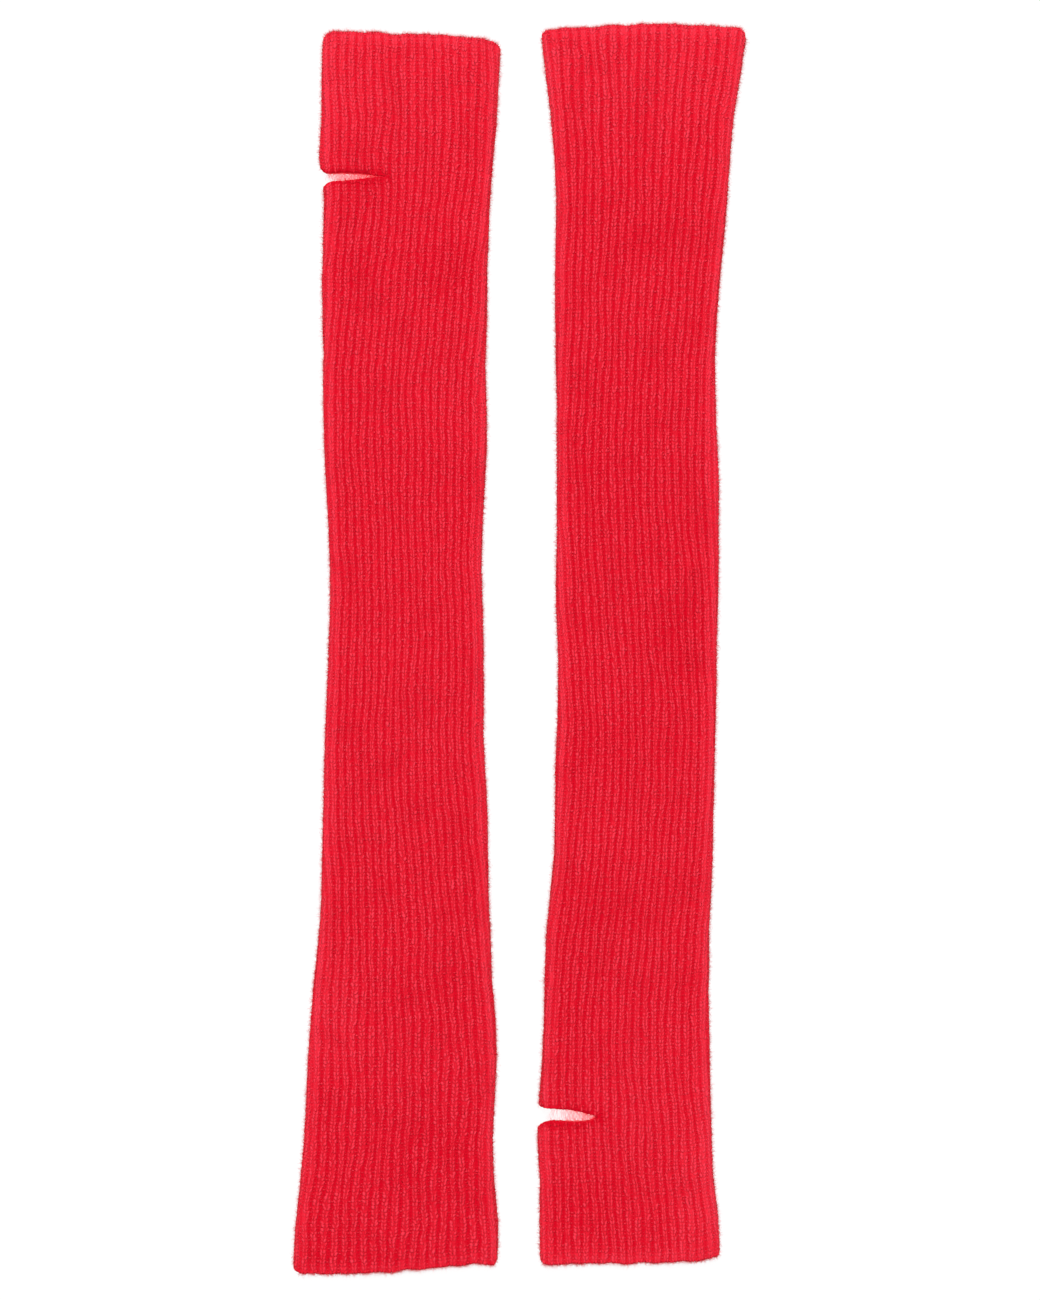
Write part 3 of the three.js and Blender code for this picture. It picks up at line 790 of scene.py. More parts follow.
def two_pieces(name, points, faces, ribs, courses, nap_and_shading):
    """Shares the legs out over two pieces, so that neither has too many triangles."""
    half = len(points) // 2
    pieces = []
    for part, legs in enumerate((slice(0, half), slice(half, len(points)))):
        first = legs.start * points.shape[1]
        part_faces = faces[legs].reshape(-1, 3) - first
        piece = new_mesh(f"{name}_{part + 1}", points[legs].reshape(-1, 3), part_faces)
        add_knit_map(piece, ribs[legs].ravel(), courses[legs].ravel())
        add_nap_and_shading(piece, nap_and_shading[legs])
        pieces.append(piece)
    return pieces


stitches = {side: lay_legs(side, seed) for side, seed in (("left", 5), ("right", 8))}
for side, pieces in stitches.items():
    print(side, "stitch triangles", [len(p.data.polygons) for p in pieces])

# %% [markdown]
# ## The purls
#
# Between two ribs the yarn crosses from one to the next, once in each course. From above these
# purls make each furrow look like a row of dark dots with short bars between them. A bar is the
# smallest closed shape that still catches light, an eight-sided bead drawn out sideways.

# %% Lay the purls
PURL_HALF_LENGTH = 0.18  # ribs
PURL_HALF_WIDTH = 0.27  # courses
PURL_HALF_HEIGHT = 0.20 * MM
PURL_LEVEL = 0.14 * MM
PURL_SIZE_SPREAD, PURL_ASIDE_SPREAD = 0.22, 0.02
# painted shade: the purls lie in the furrows and get a deep nap; the second value is painted
# light on top
PURL_SHADED_NAP, PURL_TOP_LIGHT = 0.24, 0.16
PURL_UNEVENNESS, PURL_LIFT = 0.20, 0.10 * MM
PURL_POINTS = np.array([
    (-1.0, 0.0, -0.6), (0.0, 0.0, 1.0), (0.0, 1.0, 0.0),
    (0.0, 0.0, -1.0), (0.0, -1.0, 0.0), (1.0, 0.0, -0.6),
])
PURL_FACES = np.array([
    (0, 1, 2), (0, 2, 3), (0, 3, 4), (0, 4, 1), (5, 2, 1), (5, 3, 2), (5, 4, 3), (5, 1, 4),
])


def lay_purls(side, seed):
    rng = np.random.default_rng(seed)
    courses = course_count(side)
    furrows = np.arange(-STITCH_RIBS, STITCH_RIBS) + 0.5
    rib, course = (values.ravel() for values in np.meshgrid(furrows, np.arange(courses)))
    share = course_share(side, course, rng)
    places, _, kept = showing(side, rib, share, LAST_PURL_ANGLE)
    x, y = places[kept, 0][:, None], places[kept, 1][:, None]
    rib, share = rib[kept][:, None], share[kept][:, None]
    across, along, up = PURL_POINTS.T
    size = rng.normal(1, PURL_SIZE_SPREAD, rib.shape)
    aside = rng.normal(0, PURL_ASIDE_SPREAD, rib.shape)
    purl_rib = rib + aside + across * PURL_HALF_LENGTH * size
    purl_share = share + along * PURL_HALF_WIDTH * size / courses
    unevenness = rng.normal(0, 1, rib.shape)
    height = PURL_LEVEL + PURL_LIFT * unevenness + up * PURL_HALF_HEIGHT
    points, _ = map_tube(side, purl_rib, np.clip(purl_share, 0, 1), height)
    faces = repeated(PURL_FACES, len(rib), len(PURL_POINTS))
    piece = new_mesh(f"{side}_purls", points.reshape(-1, 3), faces.reshape(-1, 3))
    add_knit_map(piece, purl_rib.ravel(), (purl_share * courses).ravel())
    # painted shade in the furrow, painted light on a purl's top
    nap_and_shading = PURL_SHADED_NAP + PURL_TOP_LIGHT * up + PURL_UNEVENNESS * unevenness
    add_nap_and_shading(piece, brushed_and_shaded(side, nap_and_shading, x, y))
    return piece


purls = {side: lay_purls(side, seed) for side, seed in (("left", 61), ("right", 67))}
print("purl triangles", {side: len(p.data.polygons) for side, p in purls.items()})

# %% [markdown]
# ## The edges
#
# Where the knitting begins, ends and turns round a slit, the yarn closes each stitch with a
# small loop that lies along the edge. The loops make the edge a little thicker and give it its
# soft scallops. Each loop is a spindle like a stitch leg, only rounder, laid along the edge.

# %% A chain of loops
LOOP_SIDES = 6
LOOP_STATIONS = (0.0, 0.18, 0.5, 0.82, 1.0)  # from one tip to the other
LOOP_FATNESS = (0.0, 0.76, 1.0, 0.76, 0.0)
RIB_WIDTH = 3.8 * MM


def loop_points(starts, ends, radii):
    """The points of round spindles: a tip, some rings and a tip."""
    axis = ends - starts
    along = axis / np.linalg.norm(axis, axis=1, keepdims=True)
    aside = np.cross(along, np.array([0.0, 0.0, 1.0]))
    aside /= np.linalg.norm(aside, axis=1, keepdims=True)
    upward = np.cross(aside, along)
    turns = np.arange(LOOP_SIDES) / LOOP_SIDES * 2 * math.pi
    points = []
    for station, fatness in zip(LOOP_STATIONS, LOOP_FATNESS):
        middle = starts + axis * station
        sides = 1 if fatness == 0 else LOOP_SIDES
        for turn in turns[:sides]:
            spread = aside * math.cos(turn) + upward * math.sin(turn)
            points.append(middle + spread * (radii * fatness)[:, None])
    points = np.stack(points, axis=1)
    points[:, :, 2] = np.maximum(points[:, :, 2], 0.0)
    return points


def loop_faces():
    rings = len(LOOP_STATIONS) - 2
    last = 1 + rings * LOOP_SIDES
    faces = []
    for i in range(LOOP_SIDES):
        j = (i + 1) % LOOP_SIDES
        faces.append([0, 1 + j, 1 + i])
        for ring in range(rings - 1):
            a, b = 1 + ring * LOOP_SIDES + i, 1 + ring * LOOP_SIDES + j
            faces += [[a, b, b + LOOP_SIDES], [a, b + LOOP_SIDES, a + LOOP_SIDES]]
        faces.append([last - LOOP_SIDES + i, last - LOOP_SIDES + j, last])
    return np.array(faces)


def loop_chain(name, starts, ends, radii, loop_nap_and_shading):
    """Round spindles, each from one place to another."""
    points = loop_points(starts, ends, radii)
    count, per_loop, _ = points.shape
    faces = repeated(loop_faces(), count, per_loop)
    flat = points.reshape(-1, 3)
    piece = new_mesh(name, flat, faces.reshape(-1, 3))
    add_knit_map(piece, flat[:, 0] / RIB_WIDTH, flat[:, 1] / COURSE)
    add_nap_and_shading(piece, np.repeat(loop_nap_and_shading, per_loop))
    return piece


print("triangles of one loop", len(loop_faces()))

# %% Bind the edges
LOOP_RADIUS, LOOP_RADIUS_SPREAD = 0.66 * MM, 0.10
LOOPS_PER_RIB, LOOP_OVERLAP = 2, 1.35
# the loops along the lips get a deeper nap: painted shade at the slits' lips
END_LOOP_NAP, SLIT_LIP_SHADE, LOOP_NAP_SPREAD = 0.40, 0.20, 0.12
EDGE_DEPTHS = (0.45 * MM, 1.35 * MM)  # two chains lie side by side in the wall
END_LOOP_INSET = 0.9 * MM
END_SWAY, END_LOOP_SWAY = 0.0004, 0.0002  # of the tube's length
SLIT_LOOP_LENGTH, SLIT_LOOP_INSET, SLIT_LOOP_SWAY = 1.9 * MM, 0.35 * MM, 0.08 * MM
SLIT_LOOP_LEVELS = {"over": FOLD_RADIUS * 2 - 0.55 * MM, "under": 0.85 * MM}


def end_loops(side, rng):
    """Start and end places of the loops along both ends of a tube."""
    starts, ends = [], []
    count = RIBS_ROUND * LOOPS_PER_RIB
    rib = (np.arange(count) + 0.5) / LOOPS_PER_RIB - RIBS_ROUND / 2
    reach = 0.5 / LOOPS_PER_RIB * LOOP_OVERLAP
    inward = END_LOOP_INSET / tube_length(side)
    for share in (inward, 1 - inward):
        for depth in EDGE_DEPTHS:
            sway = rng.normal(0, END_SWAY, count)
            for sign, places in ((-1, starts), (1, ends)):
                at = share + sway + rng.normal(0, END_LOOP_SWAY, count)
                places.append(map_tube(side, rib + sign * reach, at, -depth)[0])
    return np.concatenate(starts), np.concatenate(ends)


def lip_places(side, rng):
    """Start and end of each loop along the lips: x, y and the layer."""
    starts, ends = [], []
    for lip, inward in (("upper", 1.0), ("lower", -1.0)):
        path = slit_path(side, lip)
        step = np.linalg.norm(np.diff(path, axis=0), axis=1).sum() / (LIP_STEPS - 1)
        skip = max(int(SLIT_LOOP_LENGTH / step), 1)
        for layer in ("over", "under"):
            for i in range(2, LIP_STEPS - skip, skip):
                for places, j in ((starts, i), (ends, min(i + skip + 1, LIP_STEPS - 1))):
                    x, y = path[j]
                    y = y + inward * SLIT_LOOP_INSET + rng.normal(0, SLIT_LOOP_SWAY)
                    places.append((x, y, layer))
    return starts, ends


def slit_loops(side, rng):
    """Start and end places of the loops along both lips, on the upper and the under layer."""
    tube = TUBES[side]
    out = []
    for places in lip_places(side, rng):
        x, y = (np.array([place[i] for place in places]) for i in (0, 1))
        over = np.array([place[2] == "over" for place in places])
        left, right = (np.interp(y, tube["y"], tube[k]) for k in ("left", "right"))
        risen = SLIT_LOOP_LEVELS["over"] + rise_at(side, x, y, left, right)
        z = np.where(over, risen, SLIT_LOOP_LEVELS["under"])
        near_fold = np.clip((x - left) / FOLD_RADIUS, 0, 1)
        bend = np.sqrt(1 - (1 - near_fold) ** 2)
        z = FOLD_RADIUS + (z - FOLD_RADIUS) * bend
        out.append(np.stack([x, y, z], axis=-1))
    return out


edges = {}
for side, seed in (("left", 31), ("right", 37)):
    rng = np.random.default_rng(seed)
    end_starts, end_ends = end_loops(side, rng)
    slit_starts, slit_ends = slit_loops(side, rng)
    starts = np.concatenate([end_starts, slit_starts])
    ends = np.concatenate([end_ends, slit_ends])
    radii = LOOP_RADIUS * rng.normal(1, LOOP_RADIUS_SPREAD, len(starts))
    # painted shade on the lips' loops
    loop_nap_and_shading = np.repeat([END_LOOP_NAP, SLIT_LIP_SHADE], [len(end_starts), len(slit_starts)])
    loop_nap_and_shading = loop_nap_and_shading + rng.normal(0, LOOP_NAP_SPREAD, len(starts))
    edges[side] = loop_chain(f"{side}_edges", starts, ends, radii, loop_nap_and_shading)
    print(side, "edge loops", len(starts))

# %% [markdown]
# ## The brushed fibres
#
# The yarn was brushed, so fine fibres stand off it. Against the white ground they make a thin
# pink halo, and they nearly close the slits. Hair particles would not reach the exported
# model, so each fibre is a thin, three-sided needle. The longer ones are bent. The folds and
# the ends also need thousands of short ones, so those are straight, and take only four
# triangles each.

# %% Needles
FIBRE_RADIUS = 0.052 * MM
FIBRE_SIDES = 3
BENT = ((0.0, 1.0), (0.55, 0.75))  # rings along a needle: part of its length, part of its radius
STRAIGHT = ((0.0, 1.4),)
CURL, TIP_CURL = (0.10, 0.45), 0.4  # how far the middle bends aside, and the tip's part of it
ROOT_PALENESS = 0.35  # the root has this part of the tip's paleness


def needle_points(rings, roots, directions, lengths, rng):
    """The points of bent needles, and how pale each one of a needle is."""
    count = len(roots)
    directions = directions / np.linalg.norm(directions, axis=1, keepdims=True)
    bend = rng.normal(0, 1, (count, 3))
    bend -= directions * (bend * directions).sum(axis=1, keepdims=True)
    bend /= np.linalg.norm(bend, axis=1, keepdims=True)
    other = np.cross(directions, bend)
    curl = rng.uniform(*CURL, (count, 1)) * lengths[:, None]
    points, fading = [], []
    for station, size in rings:
        middle = roots + directions * lengths[:, None] * station + bend * curl * (station > 0)
        for side in range(FIBRE_SIDES):
            turn = side / FIBRE_SIDES * 2 * math.pi
            spread = other * math.cos(turn) + bend * math.sin(turn)
            points.append(middle + spread * FIBRE_RADIUS * size)
            fading.append(ROOT_PALENESS + (1 - ROOT_PALENESS) * station)
    points.append(roots + directions * lengths[:, None] + bend * curl * TIP_CURL)
    points = np.stack(points, axis=1)
    points[:, :, 2] = np.maximum(points[:, :, 2], 0.0)
    return points, np.array(fading + [1.0])


def needle_faces(rings):
    tip = FIBRE_SIDES * len(rings)
    faces = [[0, 2, 1]]
    for i in range(FIBRE_SIDES):
        j = (i + 1) % FIBRE_SIDES
        for ring in range(0, tip - FIBRE_SIDES, FIBRE_SIDES):
            a, b = ring + i, ring + j
            faces += [[a, b, b + FIBRE_SIDES], [a, b + FIBRE_SIDES, a + FIBRE_SIDES]]
        faces.append([tip - FIBRE_SIDES + i, tip - FIBRE_SIDES + j, tip])
    return np.array(faces)


def needle_mesh(name, rings, roots, directions, lengths, paleness, rng):
    points, fading = needle_points(rings, roots, directions, lengths, rng)
    count, per_needle, _ = points.shape
    faces = repeated(needle_faces(rings), count, per_needle)
    piece = new_mesh(name, points.reshape(-1, 3), faces.reshape(-1, 3))
    add_nap_and_shading(piece, paleness[:, None] * fading)
    return piece


print("triangles of a needle", len(needle_faces(BENT)), "or", len(needle_faces(STRAIGHT)))

# %% Grow the fibres
FOLD_RIB = RIBS_ROUND / 4
OUTWARD = (0.15, 1.0)  # how strongly a fibre at an edge leans away from the cloth
FOLD_SHARES, SURFACE_SHARES = (0.002, 0.998), (0.003, 0.997)  # the length that they grow on
ROOT_HEIGHT, SURFACE_ROOT_HEIGHT = 0.1 * MM, 0.5 * MM
FOLD_ROOT = (-0.10, 0.30)  # ribs past the fold: their middle and spread
FOLD_LEAN_ALONG, FOLD_LEAN_UP = (0, 0.7), (0.05, 0.25)
END_ROOT_DEPTH = (0.2, 1.4)  # mm into the wall
END_LEAN_ASIDE, END_LEAN_UP = (0, 0.8), (0.05, 0.30)
SURFACE_LEAN_UP = (0.15, 0.6)


def fold_fibres(side, count, lengths, rng):
    """Roots and ways of fibres along both folds."""
    hand = np.where(rng.random(count) < 0.5, -1.0, 1.0)
    share = rng.uniform(*FOLD_SHARES, count)
    near, _ = map_tube(side, hand * FOLD_RIB, share, 0.0)
    drift = np.interp(near[:, 1], TUBES[side]["y"], TUBES[side]["drift"])
    rib = hand * (FOLD_RIB + rng.normal(*FOLD_ROOT, count)) + drift
    root, _ = map_tube(side, rib, share, ROOT_HEIGHT)
    way = [hand * rng.uniform(*OUTWARD, count)]
    way += [rng.normal(*lean, count) for lean in (FOLD_LEAN_ALONG, FOLD_LEAN_UP)]
    return root, np.stack(way, axis=-1), rng.uniform(*lengths, count) * MM


def end_fibres(side, count, lengths, rng):
    """Roots and ways of fibres along both ends."""
    top = rng.random(count) < 0.5
    rib = rng.uniform(-FOLD_RIB, FOLD_RIB, count)
    inward = ROOT_HEIGHT / tube_length(side)
    share = np.where(top, 1 - inward, inward)
    root, _ = map_tube(side, rib, share, -rng.uniform(*END_ROOT_DEPTH, count) * MM)
    outward = np.where(top, 1.0, -1.0) * rng.uniform(*OUTWARD, count)
    way = [rng.normal(*END_LEAN_ASIDE, count), outward, rng.normal(*END_LEAN_UP, count)]
    return root, np.stack(way, axis=-1), rng.uniform(*lengths, count) * MM


def surface_fibres(side, count, lengths, rng):
    """Roots and ways of fibres that lie on the upper layer."""
    rib = rng.uniform(-FOLD_RIB, FOLD_RIB, count)
    share = rng.uniform(*SURFACE_SHARES, count)
    root, _ = map_tube(side, rib, share, SURFACE_ROOT_HEIGHT)
    way = [rng.normal(0, 1, count), rng.normal(0, 1, count), rng.uniform(*SURFACE_LEAN_UP, count)]
    return root, np.stack(way, axis=-1), rng.uniform(*lengths, count) * MM


# where they grow, how many, their lengths in mm, the paleness of their tips
LONG_KINDS = (
    (surface_fibres, 800, (1.5, 4.0), 0.20),
    (fold_fibres, 1500, (1.2, 3.4), 0.42),
    (end_fibres, 600, (1.2, 3.2), 0.42),
)
SHORT_KINDS = (
    (fold_fibres, 11500, (0.8, 2.4), 0.42),
    (end_fibres, 3200, (0.8, 2.4), 0.42),
)


def grow_fibres(side, name, rings, kinds, seed):
    rng = np.random.default_rng(seed)
    grown = [place(side, count, lengths, rng) for place, count, lengths, _ in kinds]
    parts = [np.concatenate(values) for values in zip(*grown)]
    parts.append(np.concatenate([np.full(count, paleness) for _, count, _, paleness in kinds]))
    good = ~inside_slit(side, parts[0][:, 0], parts[0][:, 1], 0.0)
    return needle_mesh(f"{side}_{name}", rings, *(values[good] for values in parts), rng)


FIBRE_SEEDS = {"left": 51, "right": 57}
fibres, short_fibres = {}, {}
for side, seed in FIBRE_SEEDS.items():
    fibres[side] = grow_fibres(side, "fibres", BENT, LONG_KINDS, seed)
    short_fibres[side] = grow_fibres(side, "short_fibres", STRAIGHT, SHORT_KINDS, seed + 1)
for kind in (fibres, short_fibres):
    print({piece.name: len(piece.data.polygons) for piece in kind.values()})

# %% [markdown]
# ## Fibres over the slits
#
# Between the lips of a slit the fibres reach across and close it like a veil. Near the fold the
# white ground shines through them and they look pale. Towards the slit's end they are more
# crowded and as red as the cloth. A sheet with some transparency could stand for them, but
# single needles look right from close by too.

# %% Grow the fibres over the slits
SLIT_FIBRES = {"left": 520, "right": 230}  # for each lip
CROWDING = {"left": 0.7, "right": 0.42}  # the less, the more of them at the end
SLIT_PALENESS = {"left": 0.75, "right": 1.0}
PALENESS_RANGE = (0.6, 1.0)
OPEN_PART = {"left": 0.68, "right": 0.90}  # further in the lips nearly touch and all is red
LIP_FIBRES_FROM, LIP_FIBRES_TO = 10, LIP_STEPS - 1  # steps along the lips
SLIT_ROOT_DEPTH = (-2.2, -0.3)  # mm under the upper layer's top
SLIT_LEAN_ASIDE, SLIT_LEAN_UP = (0, 0.6), (0, 0.2)
SLIT_REACH, SLIT_REACH_MORE = (0.5, 1.0), 0.5 * MM  # parts of the way to the other lip


def grow_slit_fibres(side, seed):
    """Fibres that reach from lip to lip, more of them towards the slit's end."""
    rng = np.random.default_rng(seed)
    lips = {lip: slit_path(side, lip) for lip in ("upper", "lower")}
    count = SLIT_FIBRES[side]
    grown = []
    for lip, across in (("upper", -1.0), ("lower", 1.0)):
        inward = rng.uniform(0, 1, count) ** CROWDING[side]
        pale = np.clip(1 - (inward / OPEN_PART[side]) ** 3, 0, 1)
        pale = SLIT_PALENESS[side] * rng.uniform(*PALENESS_RANGE, count) * pale
        at = LIP_FIBRES_FROM + (LIP_FIBRES_TO - LIP_FIBRES_FROM) * inward
        x, y = (np.interp(at, np.arange(LIP_STEPS), lips[lip][:, i]) for i in (0, 1))
        over, under = (np.interp(x, lips[k][:, 0], lips[k][:, 1]) for k in ("upper", "lower"))
        z = 2 * FOLD_RADIUS + rng.uniform(*SLIT_ROOT_DEPTH, count) * MM
        aside = rng.normal(*SLIT_LEAN_ASIDE, count)
        way = np.stack([aside, np.full(count, across), rng.normal(*SLIT_LEAN_UP, count)], axis=-1)
        lengths = rng.uniform(*SLIT_REACH, count) * (over - under + SLIT_REACH_MORE)
        grown.append((np.stack([x, y, z], axis=-1), way, lengths, pale))
    parts = [np.concatenate(values) for values in zip(*grown)]
    return needle_mesh(f"{side}_slit_fibres", BENT, *parts, rng)


slit_fibres = {side: grow_slit_fibres(side, seed + 2) for side, seed in FIBRE_SEEDS.items()}
print({piece.name: len(piece.data.polygons) for piece in slit_fibres.values()})

# %% [markdown]
# ## Shared effects
#
# Three effects serve more than one material, so each is a node group that is built once. The
# first mottles the dye a little, as spun yarn never takes it evenly. The second turns the nap and
# the painted light and shade that each mesh carries into a red. The third draws the knit's own
# relief from the rib and course counts, so that surfaces with no modelled stitches, such as the
# underside and the inside, are knitted too.

# %% Node group helpers
def new_group(name, inputs, outputs):
    group = bpy.data.node_groups.new(name, "ShaderNodeTree")
    for label, kind, value in inputs:
        socket = group.interface.new_socket(name=label, in_out="INPUT", socket_type=kind)
        socket.default_value = value
    for label, kind in outputs:
        group.interface.new_socket(name=label, in_out="OUTPUT", socket_type=kind)
    entry = group.nodes.new("NodeGroupInput")
    leave = group.nodes.new("NodeGroupOutput")
    return group, entry, leave


def set_or_link(tree, value, socket):
    """A socket takes either a fixed value or what another socket gives."""
    if isinstance(value, bpy.types.NodeSocket):
        tree.links.new(value, socket)
    else:
        socket.default_value = value


def add_math(tree, operation, first, second=None, clamp=False):
    node = tree.nodes.new("ShaderNodeMath")
    node.operation = operation
    node.use_clamp = clamp
    set_or_link(tree, first, node.inputs[0])
    if second is not None:
        set_or_link(tree, second, node.inputs[1])
    return node.outputs[0]


def add_mix(tree, factor, first, second):
    """Blends two colours."""
    node = tree.nodes.new("ShaderNodeMix")
    node.data_type = "RGBA"
    for label, value in (("Factor", factor), ("A", first), ("B", second)):
        set_or_link(tree, value, node.inputs[label])
    return node.outputs["Result"]


print("node helpers", [helper.__name__ for helper in (new_group, add_math, add_mix)])

# %% Dye mottling
BLOTCH_DETAIL, GRAIN_DETAIL = 3.0, 2.0
BLOTCH_CONTRAST, GRAIN_CONTRAST = 4.0, 5.0
DEEP_BLOTCH_UNDER = 0.5  # of the noise, which goes from 0 to 1
DEEP_GRAIN_UNDER, PALE_GRAIN_OVER = 0.47, 0.52


def add_noise(group, coords, scale, detail):
    noise = group.nodes.new("ShaderNodeTexNoise")
    group.links.new(coords.outputs["Object"], noise.inputs["Vector"])
    group.links.new(scale, noise.inputs["Scale"])
    noise.inputs["Detail"].default_value = detail
    return noise.outputs["Fac"]


def build_mottle_group():
    inputs = [
        ("Base", "NodeSocketColor", (0.8, 0.02, 0.04, 1.0)),
        ("Deep", "NodeSocketColor", (0.6, 0.01, 0.02, 1.0)),
        ("Pale", "NodeSocketColor", (0.9, 0.06, 0.09, 1.0)),
        ("Blotch scale", "NodeSocketFloat", 60.0),
        ("Fibre scale", "NodeSocketFloat", 1500.0),
        ("Amount", "NodeSocketFloat", 0.5),
    ]
    outputs = [("Color", "NodeSocketColor"), ("Fibre", "NodeSocketFloat")]
    group, entry, leave = new_group("dye mottling", inputs, outputs)
    given = entry.outputs
    coords = group.nodes.new("ShaderNodeTexCoord")
    blotch = add_noise(group, coords, given["Blotch scale"], BLOTCH_DETAIL)
    fibre = add_noise(group, coords, given["Fibre scale"], GRAIN_DETAIL)
    deep_blotch = add_math(group, "SUBTRACT", DEEP_BLOTCH_UNDER, blotch)
    pale_grain = add_math(group, "SUBTRACT", fibre, PALE_GRAIN_OVER)
    deep_grain = add_math(group, "SUBTRACT", DEEP_GRAIN_UNDER, fibre)
    color = given["Base"]
    for share, contrast, label in (
        (deep_blotch, BLOTCH_CONTRAST, "Deep"),
        (pale_grain, GRAIN_CONTRAST, "Pale"),
        (deep_grain, GRAIN_CONTRAST, "Deep"),
    ):
        share = add_math(group, "MULTIPLY", share, contrast, clamp=True)
        share = add_math(group, "MULTIPLY", share, given["Amount"])
        color = add_mix(group, share, color, given[label])
    group.links.new(color, leave.inputs["Color"])
    group.links.new(fibre, leave.inputs["Fibre"])
    return group


mottling = build_mottle_group()
print("group", mottling.name)


# %% Brushed nap and painted light and shade
def build_nap_and_shading_group():
    inputs = [
        ("Deep", "NodeSocketColor", (0.5, 0.004, 0.01, 1.0)),
        ("Base", "NodeSocketColor", (0.7, 0.013, 0.028, 1.0)),
        ("Pale", "NodeSocketColor", (0.86, 0.04, 0.065, 1.0)),
    ]
    group, entry, leave = new_group("brushed nap", inputs, [("Color", "NodeSocketColor")])
    nap_and_shading = group.nodes.new("ShaderNodeAttribute")
    nap_and_shading.attribute_name = NAP_AND_SHADING
    value = nap_and_shading.outputs["Fac"]
    # the lower half of the nap leads from deep to base, the upper half from base to pale
    lower_half = add_math(group, "MULTIPLY", value, 2.0, clamp=True)
    upper_half = add_math(group, "SUBTRACT", value, 0.5)
    upper_half = add_math(group, "MULTIPLY", upper_half, 2.0, clamp=True)
    color = add_mix(group, lower_half, entry.outputs["Deep"], entry.outputs["Base"])
    color = add_mix(group, upper_half, color, entry.outputs["Pale"])
    group.links.new(color, leave.inputs["Color"])
    return group


nap_and_shading_group = build_nap_and_shading_group()
print("group", nap_and_shading_group.name)

# %% Knit relief
FURROW_SHARPNESS = 2.5


def build_relief_group():
    inputs = [("Slant", "NodeSocketFloat", 0.5), ("Rib share", "NodeSocketFloat", 0.6)]
    outputs = [("Height", "NodeSocketFloat"), ("Furrow", "NodeSocketFloat")]
    group, entry, leave = new_group("knit relief", inputs, outputs)
    knit = group.nodes.new("ShaderNodeUVMap")
    knit.uv_map = KNIT_MAP
    counts = group.nodes.new("ShaderNodeSeparateXYZ")
    group.links.new(knit.outputs["UV"], counts.inputs["Vector"])
    # 0 in the middle of a rib, 1 in the middle of a furrow
    rib = add_math(group, "FRACT", add_math(group, "ADD", counts.outputs["X"], 0.5))
    aside = add_math(group, "ABSOLUTE", add_math(group, "SUBTRACT", rib, 0.5))
    aside = add_math(group, "MULTIPLY", aside, 2.0)
    furrow = add_math(group, "POWER", aside, FURROW_SHARPNESS)
    # each course is a wave that slants down on both sides of its rib, as the stitches' legs do
    slanted = add_math(group, "MULTIPLY", aside, entry.outputs["Slant"])
    course = add_math(group, "SUBTRACT", counts.outputs["Y"], slanted)
    wave = add_math(group, "SINE", add_math(group, "MULTIPLY", course, 2 * math.pi))
    wave = add_math(group, "ADD", add_math(group, "MULTIPLY", wave, 0.5), 0.5)
    rib_part = add_math(group, "SUBTRACT", 1.0, furrow)
    rib_part = add_math(group, "MULTIPLY", rib_part, entry.outputs["Rib share"])
    wave_share = add_math(group, "SUBTRACT", 1.0, entry.outputs["Rib share"])
    wave_part = add_math(group, "MULTIPLY", wave, wave_share)
    height = add_math(group, "ADD", rib_part, wave_part)
    group.links.new(height, leave.inputs["Height"])
    group.links.new(furrow, leave.inputs["Furrow"])
    return group


relief = build_relief_group()
print("group", relief.name)

# %% [markdown]
# ## The yarn
#
# The yarn is a bright, matt red. Its fibres scatter light in all directions, so it has almost no
# gloss, and its short nap adds a soft glow at grazing angles, which is what sheen is for. The
# wall's furrows get a deeper red, because light that enters them bounces from red to red. The
# stitches have their relief in their shape, so their material takes none of the drawn one.

# %% Mix the yarn materials
RED = (0.738, 0.0198, 0.0400, 1.0)
DEEP_RED = (0.553, 0.0020, 0.0128, 1.0)
PALE_RED = (0.802, 0.039, 0.069, 1.0)
SHEEN_TINT, SHEEN_ROUGHNESS = (1.0, 0.42, 0.46, 1.0), 0.35
LEAST_ROUGHNESS, ROUGHNESS_SPREAD = 0.86, 0.12
BUMP_STRENGTH, BUMP_DISTANCE = 0.55, 0.35 * MM
GRAIN_BUMP = 0.1


def place_group(tree, group, **values):
    """Puts a shared effect into a material, with the material's own values."""
    node = tree.nodes.new("ShaderNodeGroup")
    node.node_tree = group
    for label, value in values.items():
        node.inputs[label].default_value = value
    return node


